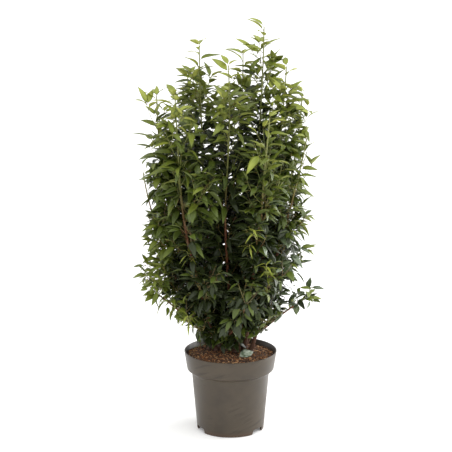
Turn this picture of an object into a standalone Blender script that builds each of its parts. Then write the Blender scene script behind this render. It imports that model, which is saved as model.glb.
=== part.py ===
"""A potted portugal laurel: an upright many-stemmed evergreen shrub in a round moulded nursery pot.

Run it with: blender --background --python part.py
Units are metres, +Z is up, and the origin is the centre of the pot's flat underside. The front faces -Y.

The shrub is grown by one rule. Woody stems rise from the compost, spreading early and then turning
upright. Each ends in a leader, which is the stem of a mass of foliage. Below the leaders, side sprays
leave the stems for points spread evenly over the crown's outer surface, and four low boughs reach out
over the pot's rim. Every mass keeps to the space that lies nearer to its own axis than to any other.
"""

import math
import random

import bmesh
import bpy
from mathutils import Matrix, Vector
from mathutils.bvhtree import BVHTree
from mathutils.geometry import intersect_point_line

# The pot: a thin moulded container with a deep rim band, a tapering wall and a foot ring.
POT_HEIGHT = 0.245
RIM_RADIUS = 0.140
RIM_LIP = 0.0035
LIP_FILLET = 0.0008
LIP_DROP = 0.0012
BAND_DEPTH = 0.0565
BAND_FOOT_RADIUS = 0.1315
BAND_EDGE = 0.0012
BAND_EDGE_HEIGHT = 0.006
STEP_DEPTH = 0.0675
STEP_LIFT = 0.35
WALL_TOP_RADIUS = 0.1172
FOOT_RADIUS = 0.1015
FOOT_WIDTH = 0.006
FOOT_FILLET = 0.002
FOOT_DRAFT = 0.002
WALL = 0.0025
FLOOR_UNDERSIDE = 0.0170
PAD_RADIUS = 0.034
PAD_SLOPE = 0.002
POT_SIDES = 40
NOTCH_COUNT = 3
NOTCH_FIRST_ANGLE = 205.0
NOTCH_WIDTH = 0.052
NOTCH_HEIGHT = 0.0150
NOTCH_DEPTH = 0.036
NOTCH_TOP_SHARE = 0.86
NOTCH_FOOT_SHARE = 1.08
DRAIN_COUNT = 6
DRAIN_FIRST_ANGLE = 26.0
DRAIN_CIRCLE = 0.066
DRAIN_RADIUS = 0.006
DRAIN_SIDES = 10
DRAIN_CUT_DEPTH = 0.015

# The compost: it fills the pot to a shallow dome, and is level where the stems stand.
COMPOST_EDGE = 0.230
COMPOST_TOP = 0.236
COMPOST_LEVEL_RADIUS = 0.098
COMPOST_EDGE_GAP = 0.0010

# Seating: neighbours stand a hair apart, and a butt end is sent out from inside its limb to stand so.
CLEARANCE = 0.0003
SEAT_GAP = CLEARANCE * 1.4
SEAT_START = 0.004
SEAT_STEPS = 12
BUTT_STEPS = 40
BUTT_CORNERS = 12
BUTT_FACE = 1e-4
CAP_WELD = 1e-5

# The fallen leaf: one old leaf that leans on the compost in front of the stems.
FALLEN_PLACE = (0.021, -0.055)
FALLEN_LENGTH = 0.054
FALLEN_TURN = 30.0
FALLEN_LEAN = 36.0
FALLEN_PITCH = 14.0
FALLEN_SAMPLES = 8

# The crown: its outer radius by height, and the point that it is centred on.
CROWN_CENTRE = (-0.012, 0.0)
CROWN_OUTLINE = (
    (0.26, 0.09),
    (0.32, 0.17),
    (0.40, 0.275),
    (0.45, 0.285),
    (0.50, 0.278),
    (0.98, 0.278),
    (1.08, 0.250),
    (1.25, 0.170),
)

# The stems. foot and tip are plan positions, height is the leader's tip above the ground, and a
# larger spread turns a stem outwards lower down. leader is the length that its foliage covers.
STEM_FOOT_RADIUS = 0.0062
STEM_LEADER_RADIUS = 0.0026
STEM_FLARE = 0.55
STEM_FLARE_HEIGHT = 0.018
STEM_FLARE_JOINT = 0.012
STEM_TAPER = 0.8
STEM_JOINTS = 7
STEMS = {
    "tall_right": dict(foot=(0.016, 0.046), tip=(0.098, 0.045), height=1.245, spread=1.7, leader=0.36),
    "tall_left": dict(foot=(-0.040, 0.056), tip=(-0.092, 0.050), height=1.188, spread=1.8, leader=0.35),
    "front": dict(foot=(-0.008, 0.018), tip=(-0.007, -0.125), height=1.150, spread=1.2, leader=0.36),
    "back": dict(foot=(-0.004, 0.076), tip=(0.037, 0.140), height=1.152, spread=1.5, leader=0.34),
    "upper_right": dict(foot=(0.040, 0.026), tip=(0.163, -0.012), height=1.135, spread=1.5, leader=0.30),
    "left": dict(foot=(-0.064, 0.034), tip=(-0.216, -0.020), height=1.050, spread=1.9, leader=0.25),
    "front_left": dict(foot=(-0.042, 0.022), tip=(-0.160, -0.120), height=1.065, spread=1.9, leader=0.26),
    "outer_right": dict(foot=(0.044, 0.050), tip=(0.214, 0.085), height=1.045, spread=1.6, leader=0.24),
    "back_left": dict(foot=(-0.030, 0.076), tip=(-0.130, 0.176), height=1.085, spread=1.7, leader=0.27),
    "front_right": dict(foot=(0.016, 0.006), tip=(0.110, -0.180), height=1.010, spread=1.6, leader=0.25),
    "back_right": dict(foot=(0.024, 0.070), tip=(0.120, 0.195), height=0.990, spread=1.6, leader=0.24),
    "right": dict(foot=(0.062, 0.014), tip=(0.226, -0.055), height=0.930, spread=1.1, leader=0.22),
    "far_left": dict(foot=(-0.062, 0.057), tip=(-0.262, 0.030), height=0.815, spread=1.5, leader=0.20),
}
STEM_SWAY = 0.008
STEM_SWAY_TURN = 2.4

# The low boughs: each leaves a stem near the compost for a point outside the pot's rim.
LOW_BOUGH_RADIUS = 0.0036
LOW_BOUGH_TIP_RADIUS = 0.0022
LOW_BOUGH_JOINTS = 5
LOW_BOUGHS = {
    "low_right": dict(stem="right", leaves=0.285, bend=(0.150, -0.046, 0.370), tip=(0.196, -0.062, 0.405)),
    "low_left": dict(stem="left", leaves=0.290, bend=(-0.150, -0.045, 0.380), tip=(-0.205, -0.055, 0.425)),
    "low_front": dict(stem="front", leaves=0.280, bend=(0.030, -0.135, 0.380), tip=(0.040, -0.185, 0.425)),
    "low_back": dict(stem="back", leaves=0.290, bend=(-0.020, 0.145, 0.380), tip=(-0.035, 0.190, 0.425)),
}
LOW_SPRAY_LENGTH = 0.045
LOW_SPRAY_LIFT = -0.15
LOW_CEILING = 0.56

# The side sprays: tiers of points on the crown's outline, each reached from the nearest free stem.
TIERS = (
    dict(height=0.385, sprays=4, turn=45.0, rise=0.085),
    dict(height=0.510, sprays=6, turn=12.0, rise=0.120),
    dict(height=0.650, sprays=7, turn=38.0, rise=0.130),
    dict(height=0.790, sprays=6, turn=14.0, rise=0.130),
)
SPRAY_SHORT_OF_OUTLINE = 0.070
SHORT_OF_TIP = 0.060
SPRAY_JOINTS = 3
SPRAY_SAG = 0.12
SPRAY_LOWEST_ROOT = 0.03
SPRAY_BELOW_LEADER = 0.04
SPRAY_LEAST_REACH = 0.035
SPRAY_BUTT_SHARE = 0.4
AXIS_SAMPLES = 8
LEADER_FIRST_JOINT = 0.012
LEADER_JOINTS = (0.36, 0.68, 1.0)

# Twigs and leaves. A leaf here stands for a small cluster, so it is larger than a real one.
BOUGH_RADIUS = 0.0028
TWIG_RADIUS = 0.0014
TWIG_TAPER = 0.60
TWIG_SPACING = dict(leader=0.054, side=0.038, low=0.026)
TWIG_LENGTH = 0.062
TWIG_LENGTH_SPREAD = (0.75, 1.15)
TWIG_OPENING = (42.0, 58.0)
TWIG_BARE = 0.4
SPACING_SPREAD = (0.85, 1.15)
TWIG_LIFT = dict(leader=0.6, side=0.6, low=0.1)
FIRST_TWIG = dict(leader=0.08, side=0.25, low=0.1)
LAST_TWIG = dict(leader=0.55, side=0.90, low=0.8)
BARE_AXIS = dict(leader=0.06, side=0.20, low=0.1)
TRIES = 7
LEAF_SPACING = 0.0250
LEAF_LENGTH = 0.094
LEAF_SIZE_SPREAD = (0.88, 1.1)
LEAF_WIDTH = 0.46
LEAF_THICKNESS = 0.024
LEAF_SHORT_OF_END = 0.008
TIP_LEAF_OPENING = 0.25
TIP_LEAF_SET_BACK = 0.003
LEAF_DROOP = dict(leader=(0.05, 0.45), side=(0.15, 0.85), low=(0.35, 1.1))
LEAF_ROLL = 0.9
LEAF_SINK = 0.0003
SHRINK_PER_TRY = 0.93
LEAF_ARCH = 0.10
LEAF_EDGE_LIFT = 0.35
LEAF_WIDEST = 0.45
LEAF_OPENING = 58.0
LEAF_OPENING_LOSS = 0.35
PHYLLOTAXIS = 137.5
SPACE_MARGIN = 0.0012
LEAF_SWELL = 1.04
LEAST_AXIS_GAP = 0.022
FAR_OFF = 0.30
LEAST_GAP = 2e-7
LIMB_MARGIN = 0.0015
RIM_MARGIN = 0.006
RIM_ZONE = (0.016, 0.012)
STEEPEST = 1e-4
SEED = 7

# Where a leaf is tested: shares of its length and of half its width.
LEAF_SAMPLES = (
    (0.5, 0.0),
    (1.0, 0.0),
    (0.45, 1.0),
    (0.45, -1.0),
    (0.72, 0.5),
    (0.72, -0.5),
    (0.22, 0.5),
    (0.22, -0.5),
    (0.85, 0.0),
)

# The finishes: a linear base colour and a roughness for each.
POT_FINISH = ("taupe_polypropylene", (0.105, 0.088, 0.070), 0.45)
COMPOST_FINISH = ("bark_compost", (0.075, 0.038, 0.020), 0.95)
BARK_FINISH = ("young_bark", (0.110, 0.060, 0.030), 0.75)
LEAF_FINISH = ("laurel_leaf", (0.048, 0.080, 0.018), 0.40)
OLD_LEAF_FINISH = ("old_leaf", (0.140, 0.170, 0.115), 0.60)


def clear_scene():
    """Remove whatever the file opened with."""
    for obj in list(bpy.data.objects):
        bpy.data.objects.remove(obj, do_unlink=True)


def new_collection(name):
    """A collection linked to the scene."""
    made = bpy.data.collections.new(name)
    bpy.context.scene.collection.children.link(made)
    return made


def material(name, colour, roughness):
    """A plain Principled material with a linear base colour."""
    made = bpy.data.materials.new(name)
    made.use_nodes = True
    shader = made.node_tree.nodes["Principled BSDF"]
    shader.inputs["Base Color"].default_value = (*colour, 1.0)
    shader.inputs["Roughness"].default_value = roughness
    return made


def add_object(name, data, collection, finish=None):
    """An object made from mesh or curve data, in a collection and with a finish."""
    made = bpy.data.objects.new(name, data)
    collection.objects.link(made)
    if finish is not None:
        data.materials.append(finish)
    return made


def evaluated_mesh(obj):
    """A free-standing mesh of the object as its modifiers leave it, with a curve's caps welded."""
    graph = bpy.context.evaluated_depsgraph_get()
    mesh = bpy.data.meshes.new_from_object(obj.evaluated_get(graph))
    shape = bmesh.new()
    shape.from_mesh(mesh)
    bmesh.ops.remove_doubles(shape, verts=shape.verts, dist=CAP_WELD)
    shape.to_mesh(mesh)
    shape.free()
    return mesh


# ---- Pot and compost ----


def turned(name, profile, collection, finish):
    """A solid turned round the Z axis from (radius, height) points that start and end on it."""
    mesh = bpy.data.meshes.new(name)
    edges = [(i, i + 1) for i in range(len(profile) - 1)]
    mesh.from_pydata([(radius, 0.0, height) for radius, height in profile], edges, [])
    made = add_object(name, mesh, collection, finish)
    screw = made.modifiers.new("turn", "SCREW")
    screw.steps = screw.render_steps = POT_SIDES
    screw.use_merge_vertices = True
    screw.merge_threshold = 0.0001
    screw.use_smooth_shade = False
    return made


def outer_profile():
    """The pot's outer side from the rim's lip down to the foot, as (radius, height) points."""
    return [
        (RIM_RADIUS - LIP_FILLET, POT_HEIGHT),
        (RIM_RADIUS, POT_HEIGHT - LIP_DROP),
        (BAND_FOOT_RADIUS + BAND_EDGE, POT_HEIGHT - BAND_DEPTH + BAND_EDGE_HEIGHT),
        (BAND_FOOT_RADIUS - BAND_EDGE, POT_HEIGHT - BAND_DEPTH),
        (WALL_TOP_RADIUS, POT_HEIGHT - STEP_DEPTH),
        (FOOT_RADIUS, FOOT_FILLET),
        (FOOT_RADIUS - FOOT_FILLET, 0.0),
    ]


def inner_profile(inset):
    """The pot's inner side from the middle of its floor up to the rim band, set in by inset."""
    slope = (WALL_TOP_RADIUS - FOOT_RADIUS) / (POT_HEIGHT - STEP_DEPTH)
    floor = FLOOR_UNDERSIDE + inset
    return [
        (0.0, inset),
        (PAD_RADIUS - inset, inset),
        (PAD_RADIUS + PAD_SLOPE - inset, floor),
        (FOOT_RADIUS + slope * floor - inset, floor),
        (WALL_TOP_RADIUS - inset, POT_HEIGHT - STEP_DEPTH + STEP_LIFT * inset),
        (BAND_FOOT_RADIUS - inset, POT_HEIGHT - BAND_DEPTH + STEP_LIFT * inset),
    ]


def under_profile():
    """The underside from the foot ring inwards, over the drainage channel to the middle pad."""
    foot_inside = FOOT_RADIUS - FOOT_WIDTH
    return [
        (foot_inside, 0.0),
        (foot_inside - FOOT_DRAFT, FLOOR_UNDERSIDE),
        (PAD_RADIUS + PAD_SLOPE, FLOOR_UNDERSIDE),
        (PAD_RADIUS, 0.0),
        (0.0, 0.0),
    ]


def band_inner_radius(height, inset):
    """The inside radius of the rim band at a height, moved in by inset."""
    share = (height - (POT_HEIGHT - BAND_DEPTH)) / BAND_DEPTH
    return BAND_FOOT_RADIUS + (RIM_RADIUS - BAND_FOOT_RADIUS) * share - inset


def make_pot(collection, cutters, finish):
    """The pot with its foot notches and drain holes cut through."""
    rim_inside = (band_inner_radius(POT_HEIGHT, RIM_LIP), POT_HEIGHT)
    profile = [*inner_profile(WALL), rim_inside, *outer_profile(), *under_profile()]
    pot = turned("pot", profile, collection, finish)
    for index in range(NOTCH_COUNT):
        angle = math.radians(NOTCH_FIRST_ANGLE + index * 360 / NOTCH_COUNT)
        cut_with(pot, notch_cutter(index, angle, cutters))
    for index in range(DRAIN_COUNT):
        angle = math.radians(DRAIN_FIRST_ANGLE + index * 360 / DRAIN_COUNT)
        cut_with(pot, drain_cutter(index, angle, cutters))
    return pot


def cut_with(obj, cutter):
    """Cut one object out of another, exactly."""
    cut = obj.modifiers.new(cutter.name, "BOOLEAN")
    cut.operation = "DIFFERENCE"
    cut.solver = "EXACT"
    cut.object = cutter


def as_helper(obj):
    """Keep a helper out of renders."""
    obj.hide_render = True
    obj.display_type = "WIRE"
    return obj


def notch_cutter(index, angle, cutters):
    """A block with sloping ends that opens the foot ring, as an arch over the ground."""
    shape = bmesh.new()
    bmesh.ops.create_cube(shape, size=1.0)
    for vert in shape.verts:
        top = vert.co.z > 0
        vert.co.x *= NOTCH_DEPTH
        vert.co.y *= NOTCH_WIDTH * (NOTCH_TOP_SHARE if top else NOTCH_FOOT_SHARE)
        vert.co.z = NOTCH_HEIGHT if top else -NOTCH_HEIGHT
    mesh = bpy.data.meshes.new(f"notch_{index}")
    shape.to_mesh(mesh)
    shape.free()
    made = add_object(f"notch_{index}", mesh, cutters)
    made.location = (FOOT_RADIUS * math.cos(angle), FOOT_RADIUS * math.sin(angle), 0.0)
    made.rotation_euler = (0.0, 0.0, angle)
    return as_helper(made)


def drain_cutter(index, angle, cutters):
    """A short cylinder through the pot's floor."""
    shape = bmesh.new()
    bmesh.ops.create_cone(
        shape,
        cap_ends=True,
        segments=DRAIN_SIDES,
        radius1=DRAIN_RADIUS,
        radius2=DRAIN_RADIUS,
        depth=DRAIN_CUT_DEPTH,
    )
    mesh = bpy.data.meshes.new(f"drain_{index}")
    shape.to_mesh(mesh)
    shape.free()
    made = add_object(f"drain_{index}", mesh, cutters)
    made.location = (DRAIN_CIRCLE * math.cos(angle), DRAIN_CIRCLE * math.sin(angle), FLOOR_UNDERSIDE)
    made.rotation_euler = (0.0, 0.0, angle)
    return as_helper(made)


def make_compost(collection, finish):
    """The compost that fills the pot, a hair clear of its wall."""
    inset = WALL + CLEARANCE
    edge_radius = band_inner_radius(COMPOST_EDGE, inset + COMPOST_EDGE_GAP)
    top = [(0.0, COMPOST_TOP), (COMPOST_LEVEL_RADIUS, COMPOST_TOP), (edge_radius, COMPOST_EDGE)]
    return turned("compost", top + inner_profile(inset)[::-1], collection, finish)


# ---- Limbs ----


def stem_path(stem, name):
    """A function of height share, from 0 at the compost to 1 at the leader's tip, giving a point."""
    foot, tip = Vector(stem["foot"]), Vector(stem["tip"])
    sway_phase = random.Random(f"sway {name}").uniform(0, 2 * math.pi)
    across = Vector((-(tip - foot).y, (tip - foot).x)).normalized()

    def place(share):
        reach = 1.0 - (1.0 - share) ** stem["spread"]
        sway = STEM_SWAY * math.sin(math.pi * share) * math.sin(STEM_SWAY_TURN * math.pi * share + sway_phase)
        plan = foot + (tip - foot) * reach + across * sway
        base = COMPOST_TOP + CLEARANCE
        return Vector((plan.x, plan.y, base + (stem["height"] - base) * share))

    return place


def stem_radius(share, end_share):
    """The stem's radius at a height share: an even taper with a flare at the root."""
    taper = 1.0 - (share / end_share) ** STEM_TAPER
    flare = 1.0 + STEM_FLARE * math.exp(-share / STEM_FLARE_HEIGHT)
    return (STEM_LEADER_RADIUS + (STEM_FOOT_RADIUS - STEM_LEADER_RADIUS) * taper) * flare


def limb_curve(name, points, radii, collection, finish, sides=8):
    """A tapering limb: a bevelled curve through points, with filled ends and an even number of sides."""
    curve = bpy.data.curves.new(name, "CURVE")
    curve.dimensions = "3D"
    curve.bevel_depth = 1.0
    curve.bevel_resolution = (sides - 4) // 2
    curve.use_fill_caps = True
    spline = curve.splines.new("POLY")
    spline.points.add(len(points) - 1)
    for node, point, radius in zip(spline.points, points, radii):
        node.co = (*point, 1.0)
        node.radius = radius
    return add_object(name, curve, collection, finish)


def make_stem(name, stem, collection, finish):
    """One woody stem from its flat foot on the compost up to the start of its leader."""
    place = stem_path(stem, name)
    end_share = leader_share(stem)
    foot = place(0.0)
    shares = [0.0, STEM_FLARE_JOINT, *(end_share * (i + 1) / STEM_JOINTS for i in range(STEM_JOINTS))]
    points = [place(share) for share in shares]
    points[1].x, points[1].y = foot.x, foot.y
    radii = [stem_radius(share, end_share) for share in shares]
    return limb_curve(f"stem_{name}", points, radii, collection, finish)


def leader_share(stem):
    """The height share at which a stem ends and its leader's foliage begins."""
    return 1.0 - stem["leader"] / (stem["height"] - COMPOST_TOP)


def butt_corners(point, heading, radius):
    """Points round the edge of a butt end."""
    side = heading.orthogonal().normalized()
    other = heading.cross(side)
    turns = [math.tau * i / BUTT_CORNERS for i in range(BUTT_CORNERS)]
    return [point + radius * (math.cos(t) * side + math.sin(t) * other) for t in turns]


def seated_on(limb_tree, axis_point, heading, radius):
    """The butt's centre, sent out along heading until its edge stands a hair clear of the limb."""
    travel = SEAT_START + radius
    for _ in range(SEAT_STEPS):
        gaps = []
        for corner in butt_corners(axis_point + heading * travel, heading, radius):
            near, normal, _, distance = limb_tree.find_nearest(corner)
            gaps.append(math.copysign(distance, (corner - near).dot(normal)))
        travel += SEAT_GAP - min(gaps)
    return axis_point + heading * travel


def curved_through(start, bend, tip, count):
    """Evenly spaced points on the quadratic curve from start to tip that bends towards bend."""
    shares = [i / count for i in range(count + 1)]
    return [start * (1 - s) ** 2 + bend * (2 * s * (1 - s)) + tip * s**2 for s in shares]


def make_low_bough(name, bough, path, limb_tree, collection, finish):
    """One low bough, from a hair clear of its stem out past the rim."""
    stem = STEMS[bough["stem"]]
    share = (bough["leaves"] - COMPOST_TOP) / (stem["height"] - COMPOST_TOP)
    axis_point = path(share)
    bend, tip = Vector(bough["bend"]), Vector(bough["tip"])
    heading = (bend - axis_point).normalized()
    start = seated_on(limb_tree, axis_point, heading, LOW_BOUGH_RADIUS)
    points = curved_through(start, bend, tip, LOW_BOUGH_JOINTS)
    points.insert(1, start + heading * SEAT_START)
    steps = [i / (len(points) - 1) for i in range(len(points))]
    radii = [LOW_BOUGH_RADIUS + (LOW_BOUGH_TIP_RADIUS - LOW_BOUGH_RADIUS) * s for s in steps]
    return limb_curve(f"bough_{name}", points, radii, collection, finish, sides=6), points


# ---- Foliage ----


class Mass:
    """One mass of foliage: its axis, and the twigs and leaves that it takes."""

    def __init__(self, name, axis, butt_radius, kind, ceiling, seed):
        self.name = name
        self.ceiling = ceiling
        self.axis = axis
        self.butt_radius = butt_radius
        self.kind = kind
        self.rng = random.Random(f"{SEED} {seed}")
        self.twigs = []
        self.leaves = []
        self.skeleton = [axis]
        self.pieces = [placed_piece(*tube(axis, butt_radius))]
        self.leaf_pieces = []


def distance_to_axis(point, axis):
    """How far a point lies from a polyline."""
    nearest = math.inf
    for start, end in zip(axis, axis[1:]):
        place, share = intersect_point_line(point, start, end)
        if share <= 0.0:
            place = start
        elif share >= 1.0:
            place = end
        nearest = min(nearest, (point - place).length)
    return nearest


def keeps_to_space(points, own, masses):
    """True where every point lies nearer to its own mass's skeleton than to any other's."""
    for point in points:
        mine = min(distance_to_axis(point, run) for run in own.skeleton) + 2 * SPACE_MARGIN
        for other in masses:
            if other is own or (point - other.axis[-1]).length > mine + FAR_OFF:
                continue
            if any(distance_to_axis(point, run) < mine for run in other.skeleton):
                return False
    return True


def keeps_in_outline(points):
    """True where every point lies inside the crown's outline."""
    for point in points:
        plan = Vector((point.x - CROWN_CENTRE[0], point.y - CROWN_CENTRE[1]))
        if plan.length > crown_radius(point.z):
            return False
    return True


def clears_pot(points):
    """True where every point stays off the compost and the pot's rim."""
    for point in points:
        radius = math.hypot(point.x, point.y)
        over_rim = radius > RIM_RADIUS - RIM_ZONE[0]
        floor = POT_HEIGHT + RIM_MARGIN if over_rim else COMPOST_TOP + RIM_MARGIN
        if point.z < floor and radius < RIM_RADIUS + RIM_ZONE[1]:
            return False
    return True


def tube(points, radius):
    """The vertices and faces of a three-sided tube through points, for tests of what it touches."""
    verts, faces = [], []
    for start, end in zip(points, points[1:]):
        at = len(verts)
        heading = (end - start).normalized()
        for centre in (start, end):
            verts += butt_corners(centre, heading, radius)[:: BUTT_CORNERS // 3]
        for side in range(3):
            after = (side + 1) % 3
            faces.append((at + side, at + after, at + 3 + after, at + 3 + side))
    return verts, faces


def placed_piece(verts, faces):
    """A small mesh as its centre, its reach and a tree of its faces."""
    centre = sum(verts, Vector()) / len(verts)
    reach = max((vert - centre).length for vert in verts)
    return centre, reach, BVHTree.FromPolygons(verts, faces)


def touches(piece, own, masses, guard):
    """True where a piece touches a limb, a piece of another mass, or a leaf of its own mass."""
    centre, reach, tree = piece
    if tree.overlap(guard):
        return True
    for mass in masses:
        pieces = mass.pieces if mass is not own else mass.leaf_pieces
        for there, its_reach, its_tree in pieces:
            if (there - centre).length < reach + its_reach and tree.overlap(its_tree):
                return True
    return False


def leaf_template():
    """A leaf blade of eight faces, one metre long, from its root at the origin to its tip on +X."""
    shape = bmesh.new()
    bmesh.ops.create_uvsphere(shape, u_segments=4, v_segments=2, radius=1.0)
    for vert in shape.verts:
        x, y, z = vert.co
        along = 0.0 if x < -0.5 else 1.0 if x > 0.5 else LEAF_WIDEST
        lift = LEAF_ARCH if 0.0 < along < 1.0 else 0.0
        edge_lift = LEAF_EDGE_LIFT * LEAF_ARCH * abs(y)
        vert.co = (along, y * LEAF_WIDTH / 2, z * LEAF_THICKNESS / 2 + lift + edge_lift)
    mesh = bpy.data.meshes.new("leaf")
    shape.to_mesh(mesh)
    shape.free()
    return mesh


def facing(heading, roll, droop):
    """The rotation that points +X along heading, dropped by droop, with +Z as near up as can be."""
    level = Vector((heading.x, heading.y, 0.0))
    if level.length < STEEPEST:
        level = Vector((1.0, 0.0, 0.0))
    level.normalize()
    pitch = math.atan2(heading.z, math.hypot(heading.x, heading.y)) - droop
    forward = level * math.cos(pitch) + Vector((0.0, 0.0, math.sin(pitch)))
    side = Vector((0.0, 0.0, 1.0)).cross(forward).normalized()
    up = forward.cross(side)
    turn = Matrix((forward, side, up)).transposed()
    return (turn @ Matrix.Rotation(roll, 3, "X")).to_4x4()


def run_points(start, heading, length, lift, joints):
    """Points of a twig that leaves along heading and turns up by lift over its length."""
    points = [start]
    for _ in range(joints):
        heading = (heading + Vector((0.0, 0.0, lift / joints))).normalized()
        points.append(points[-1] + heading * (length / joints))
    return points


def point_along(points, distance):
    """The point at a distance along a polyline, and the heading there."""
    for start, end in zip(points, points[1:]):
        step = (end - start).length
        if distance <= step:
            return start.lerp(end, distance / step), (end - start).normalized()
        distance -= step
    return points[-1].copy(), (points[-1] - points[-2]).normalized()


def length_of(points):
    """The length of a polyline."""
    return sum((b - a).length for a, b in zip(points, points[1:]))


def side_heading(heading, turn, opening):
    """A heading opened from another by an angle, at a turn round it."""
    side = heading.orthogonal().normalized()
    other = heading.cross(side)
    radial = math.cos(turn) * side + math.sin(turn) * other
    return (heading * math.cos(opening) + radial * math.sin(opening)).normalized()


def sample_points(matrix):
    """Points over a placed leaf: its root, tip, edges and the middles between them."""
    half = LEAF_WIDTH / 2
    plan = [(x, half * across) for x, across in LEAF_SAMPLES]
    return [matrix @ Vector((x, y, LEAF_ARCH * (1 - abs(2 * x - 1)))) for x, y in plan]


def try_leaf(mass, masses, root, heading, scale, guard, template):
    """Add a leaf to the mass unless it would leave the space or touch a limb or the pot."""
    rng = mass.rng
    roll = rng.uniform(-LEAF_ROLL, LEAF_ROLL)
    droop = rng.uniform(*LEAF_DROOP[mass.kind])
    size = LEAF_LENGTH * scale * rng.uniform(*LEAF_SIZE_SPREAD)
    turn = facing(heading, roll, droop)
    forward = turn.to_3x3() @ Vector((1.0, 0.0, 0.0))
    matrix = Matrix.Translation(root - forward * LEAF_SINK) @ turn @ Matrix.Scale(size, 4)
    points = sample_points(matrix)
    inside = max(point.z for point in points) < mass.ceiling and keeps_in_outline(points)
    if not inside or not clears_pot(points) or not keeps_to_space(points, mass, masses):
        return False
    verts = [matrix @ (vert.co * LEAF_SWELL) for vert in template.vertices]
    faces = [tuple(face.vertices) for face in template.polygons]
    piece = placed_piece(verts, faces)
    if touches(piece, mass, masses, guard):
        return False
    mass.leaves.append(matrix)
    mass.pieces.append(piece)
    mass.leaf_pieces.append(piece)
    return True


def clothe(mass, masses, points, first, guard, template):
    """Set leaves along a run of twig, each a phyllotactic turn round it from the last."""
    length = length_of(points)
    turn = mass.rng.uniform(0, math.tau)
    distance = first
    while distance < length - LEAF_SHORT_OF_END:
        root, heading = point_along(points, distance)
        opening = math.radians(LEAF_OPENING) * (1.0 - LEAF_OPENING_LOSS * distance / length)
        for attempt in range(TRIES):
            out = side_heading(heading, turn, opening)
            turn += math.radians(PHYLLOTAXIS)
            if try_leaf(mass, masses, root, out, SHRINK_PER_TRY**attempt, guard, template):
                break
        distance += LEAF_SPACING * mass.rng.uniform(*SPACING_SPREAD)
    root, heading = point_along(points, length - TIP_LEAF_SET_BACK)
    for attempt in range(TRIES):
        out = side_heading(heading, turn + attempt, TIP_LEAF_OPENING)
        if try_leaf(mass, masses, root, out, SHRINK_PER_TRY**attempt, guard, template):
            break


def grow_twigs(mass, masses, guard):
    """Grow the twigs of a mass from its axis, a phyllotactic turn round it from one to the next."""
    rng = mass.rng
    axis_length = length_of(mass.axis)
    turn = rng.uniform(0, math.tau)
    distance = FIRST_TWIG[mass.kind] * axis_length
    while distance < LAST_TWIG[mass.kind] * axis_length:
        root, heading = point_along(mass.axis, distance)
        for _ in range(TRIES):
            out = side_heading(heading, turn, math.radians(rng.uniform(*TWIG_OPENING)))
            length = TWIG_LENGTH * rng.uniform(*TWIG_LENGTH_SPREAD)
            points = run_points(root, out, length, TWIG_LIFT[mass.kind], 2)
            turn += math.radians(PHYLLOTAXIS)
            piece = placed_piece(*tube(points, TWIG_RADIUS + LIMB_MARGIN))
            if twig_fits(points, mass, masses) and not touches(piece, mass, masses, guard):
                mass.twigs.append(points)
                mass.pieces.append(piece)
                break
        distance += TWIG_SPACING[mass.kind] * rng.uniform(*SPACING_SPREAD)


def grow_leaves(mass, masses, guard, template):
    """Set leaves along a mass's axis, past its bare first stretch, and along each of its twigs."""
    bare = BARE_AXIS[mass.kind] * length_of(mass.axis)
    clothe(mass, masses, mass.axis, bare, guard, template)
    for points in mass.twigs:
        clothe(mass, masses, points, TWIG_BARE * length_of(points), guard, template)


def twig_fits(points, mass, masses):
    """True where a twig keeps to its mass's space and clears the pot."""
    middles = [a.lerp(b, share) for a, b in zip(points, points[1:]) for share in (0.5, 1.0)]
    return clears_pot(middles) and keeps_to_space(middles, mass, masses)


def twig_profile(helpers):
    """The three-sided cross-section that twigs are drawn with."""
    curve = bpy.data.curves.new("twig_profile", "CURVE")
    spline = curve.splines.new("POLY")
    spline.points.add(2)
    for index, node in enumerate(spline.points):
        angle = math.tau * index / 3
        node.co = (math.cos(angle), math.sin(angle), 0.0, 1.0)
    spline.use_cyclic_u = True
    return as_helper(add_object("twig_profile", curve, helpers))


def twig_object(name, points, radii, profile, collection):
    """A three-sided tapering twig as a closed mesh object."""
    guide = limb_curve(name, points, radii, collection, None)
    guide.data.bevel_mode = "OBJECT"
    guide.data.bevel_object = profile
    mesh = evaluated_mesh(guide)
    curve = guide.data
    bpy.data.objects.remove(guide)
    bpy.data.curves.remove(curve)
    shape = bmesh.new()
    shape.from_mesh(mesh)
    bmesh.ops.recalc_face_normals(shape, faces=shape.faces)
    shape.to_mesh(mesh)
    shape.free()
    return add_object(name, mesh, collection)


def tapered(radius, count):
    """Radii for a twig's points, tapering to its tip."""
    return [radius * (1 - (1 - TWIG_TAPER) * i / (count - 1)) for i in range(count)]


def seat_butt(mesh, axis, limb_tree):
    """Move the butt end of a mass's axis along its heading until it stands a hair clear of its limb."""
    heading = (axis[1] - axis[0]).normalized()
    corners = [vert for vert in mesh.vertices if abs((vert.co - axis[0]).dot(heading)) < BUTT_FACE]
    for _ in range(BUTT_STEPS):
        points = [vert.co.copy() for vert in corners]
        points += [a.lerp(b, share) for a in points for b in points for share in (0.25, 0.5)]
        points.append(sum(points, Vector()) / len(points))
        gap = min(limb_tree.find_nearest(point)[3] for point in points)
        for vert in corners:
            vert.co -= heading * (gap - CLEARANCE)


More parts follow.
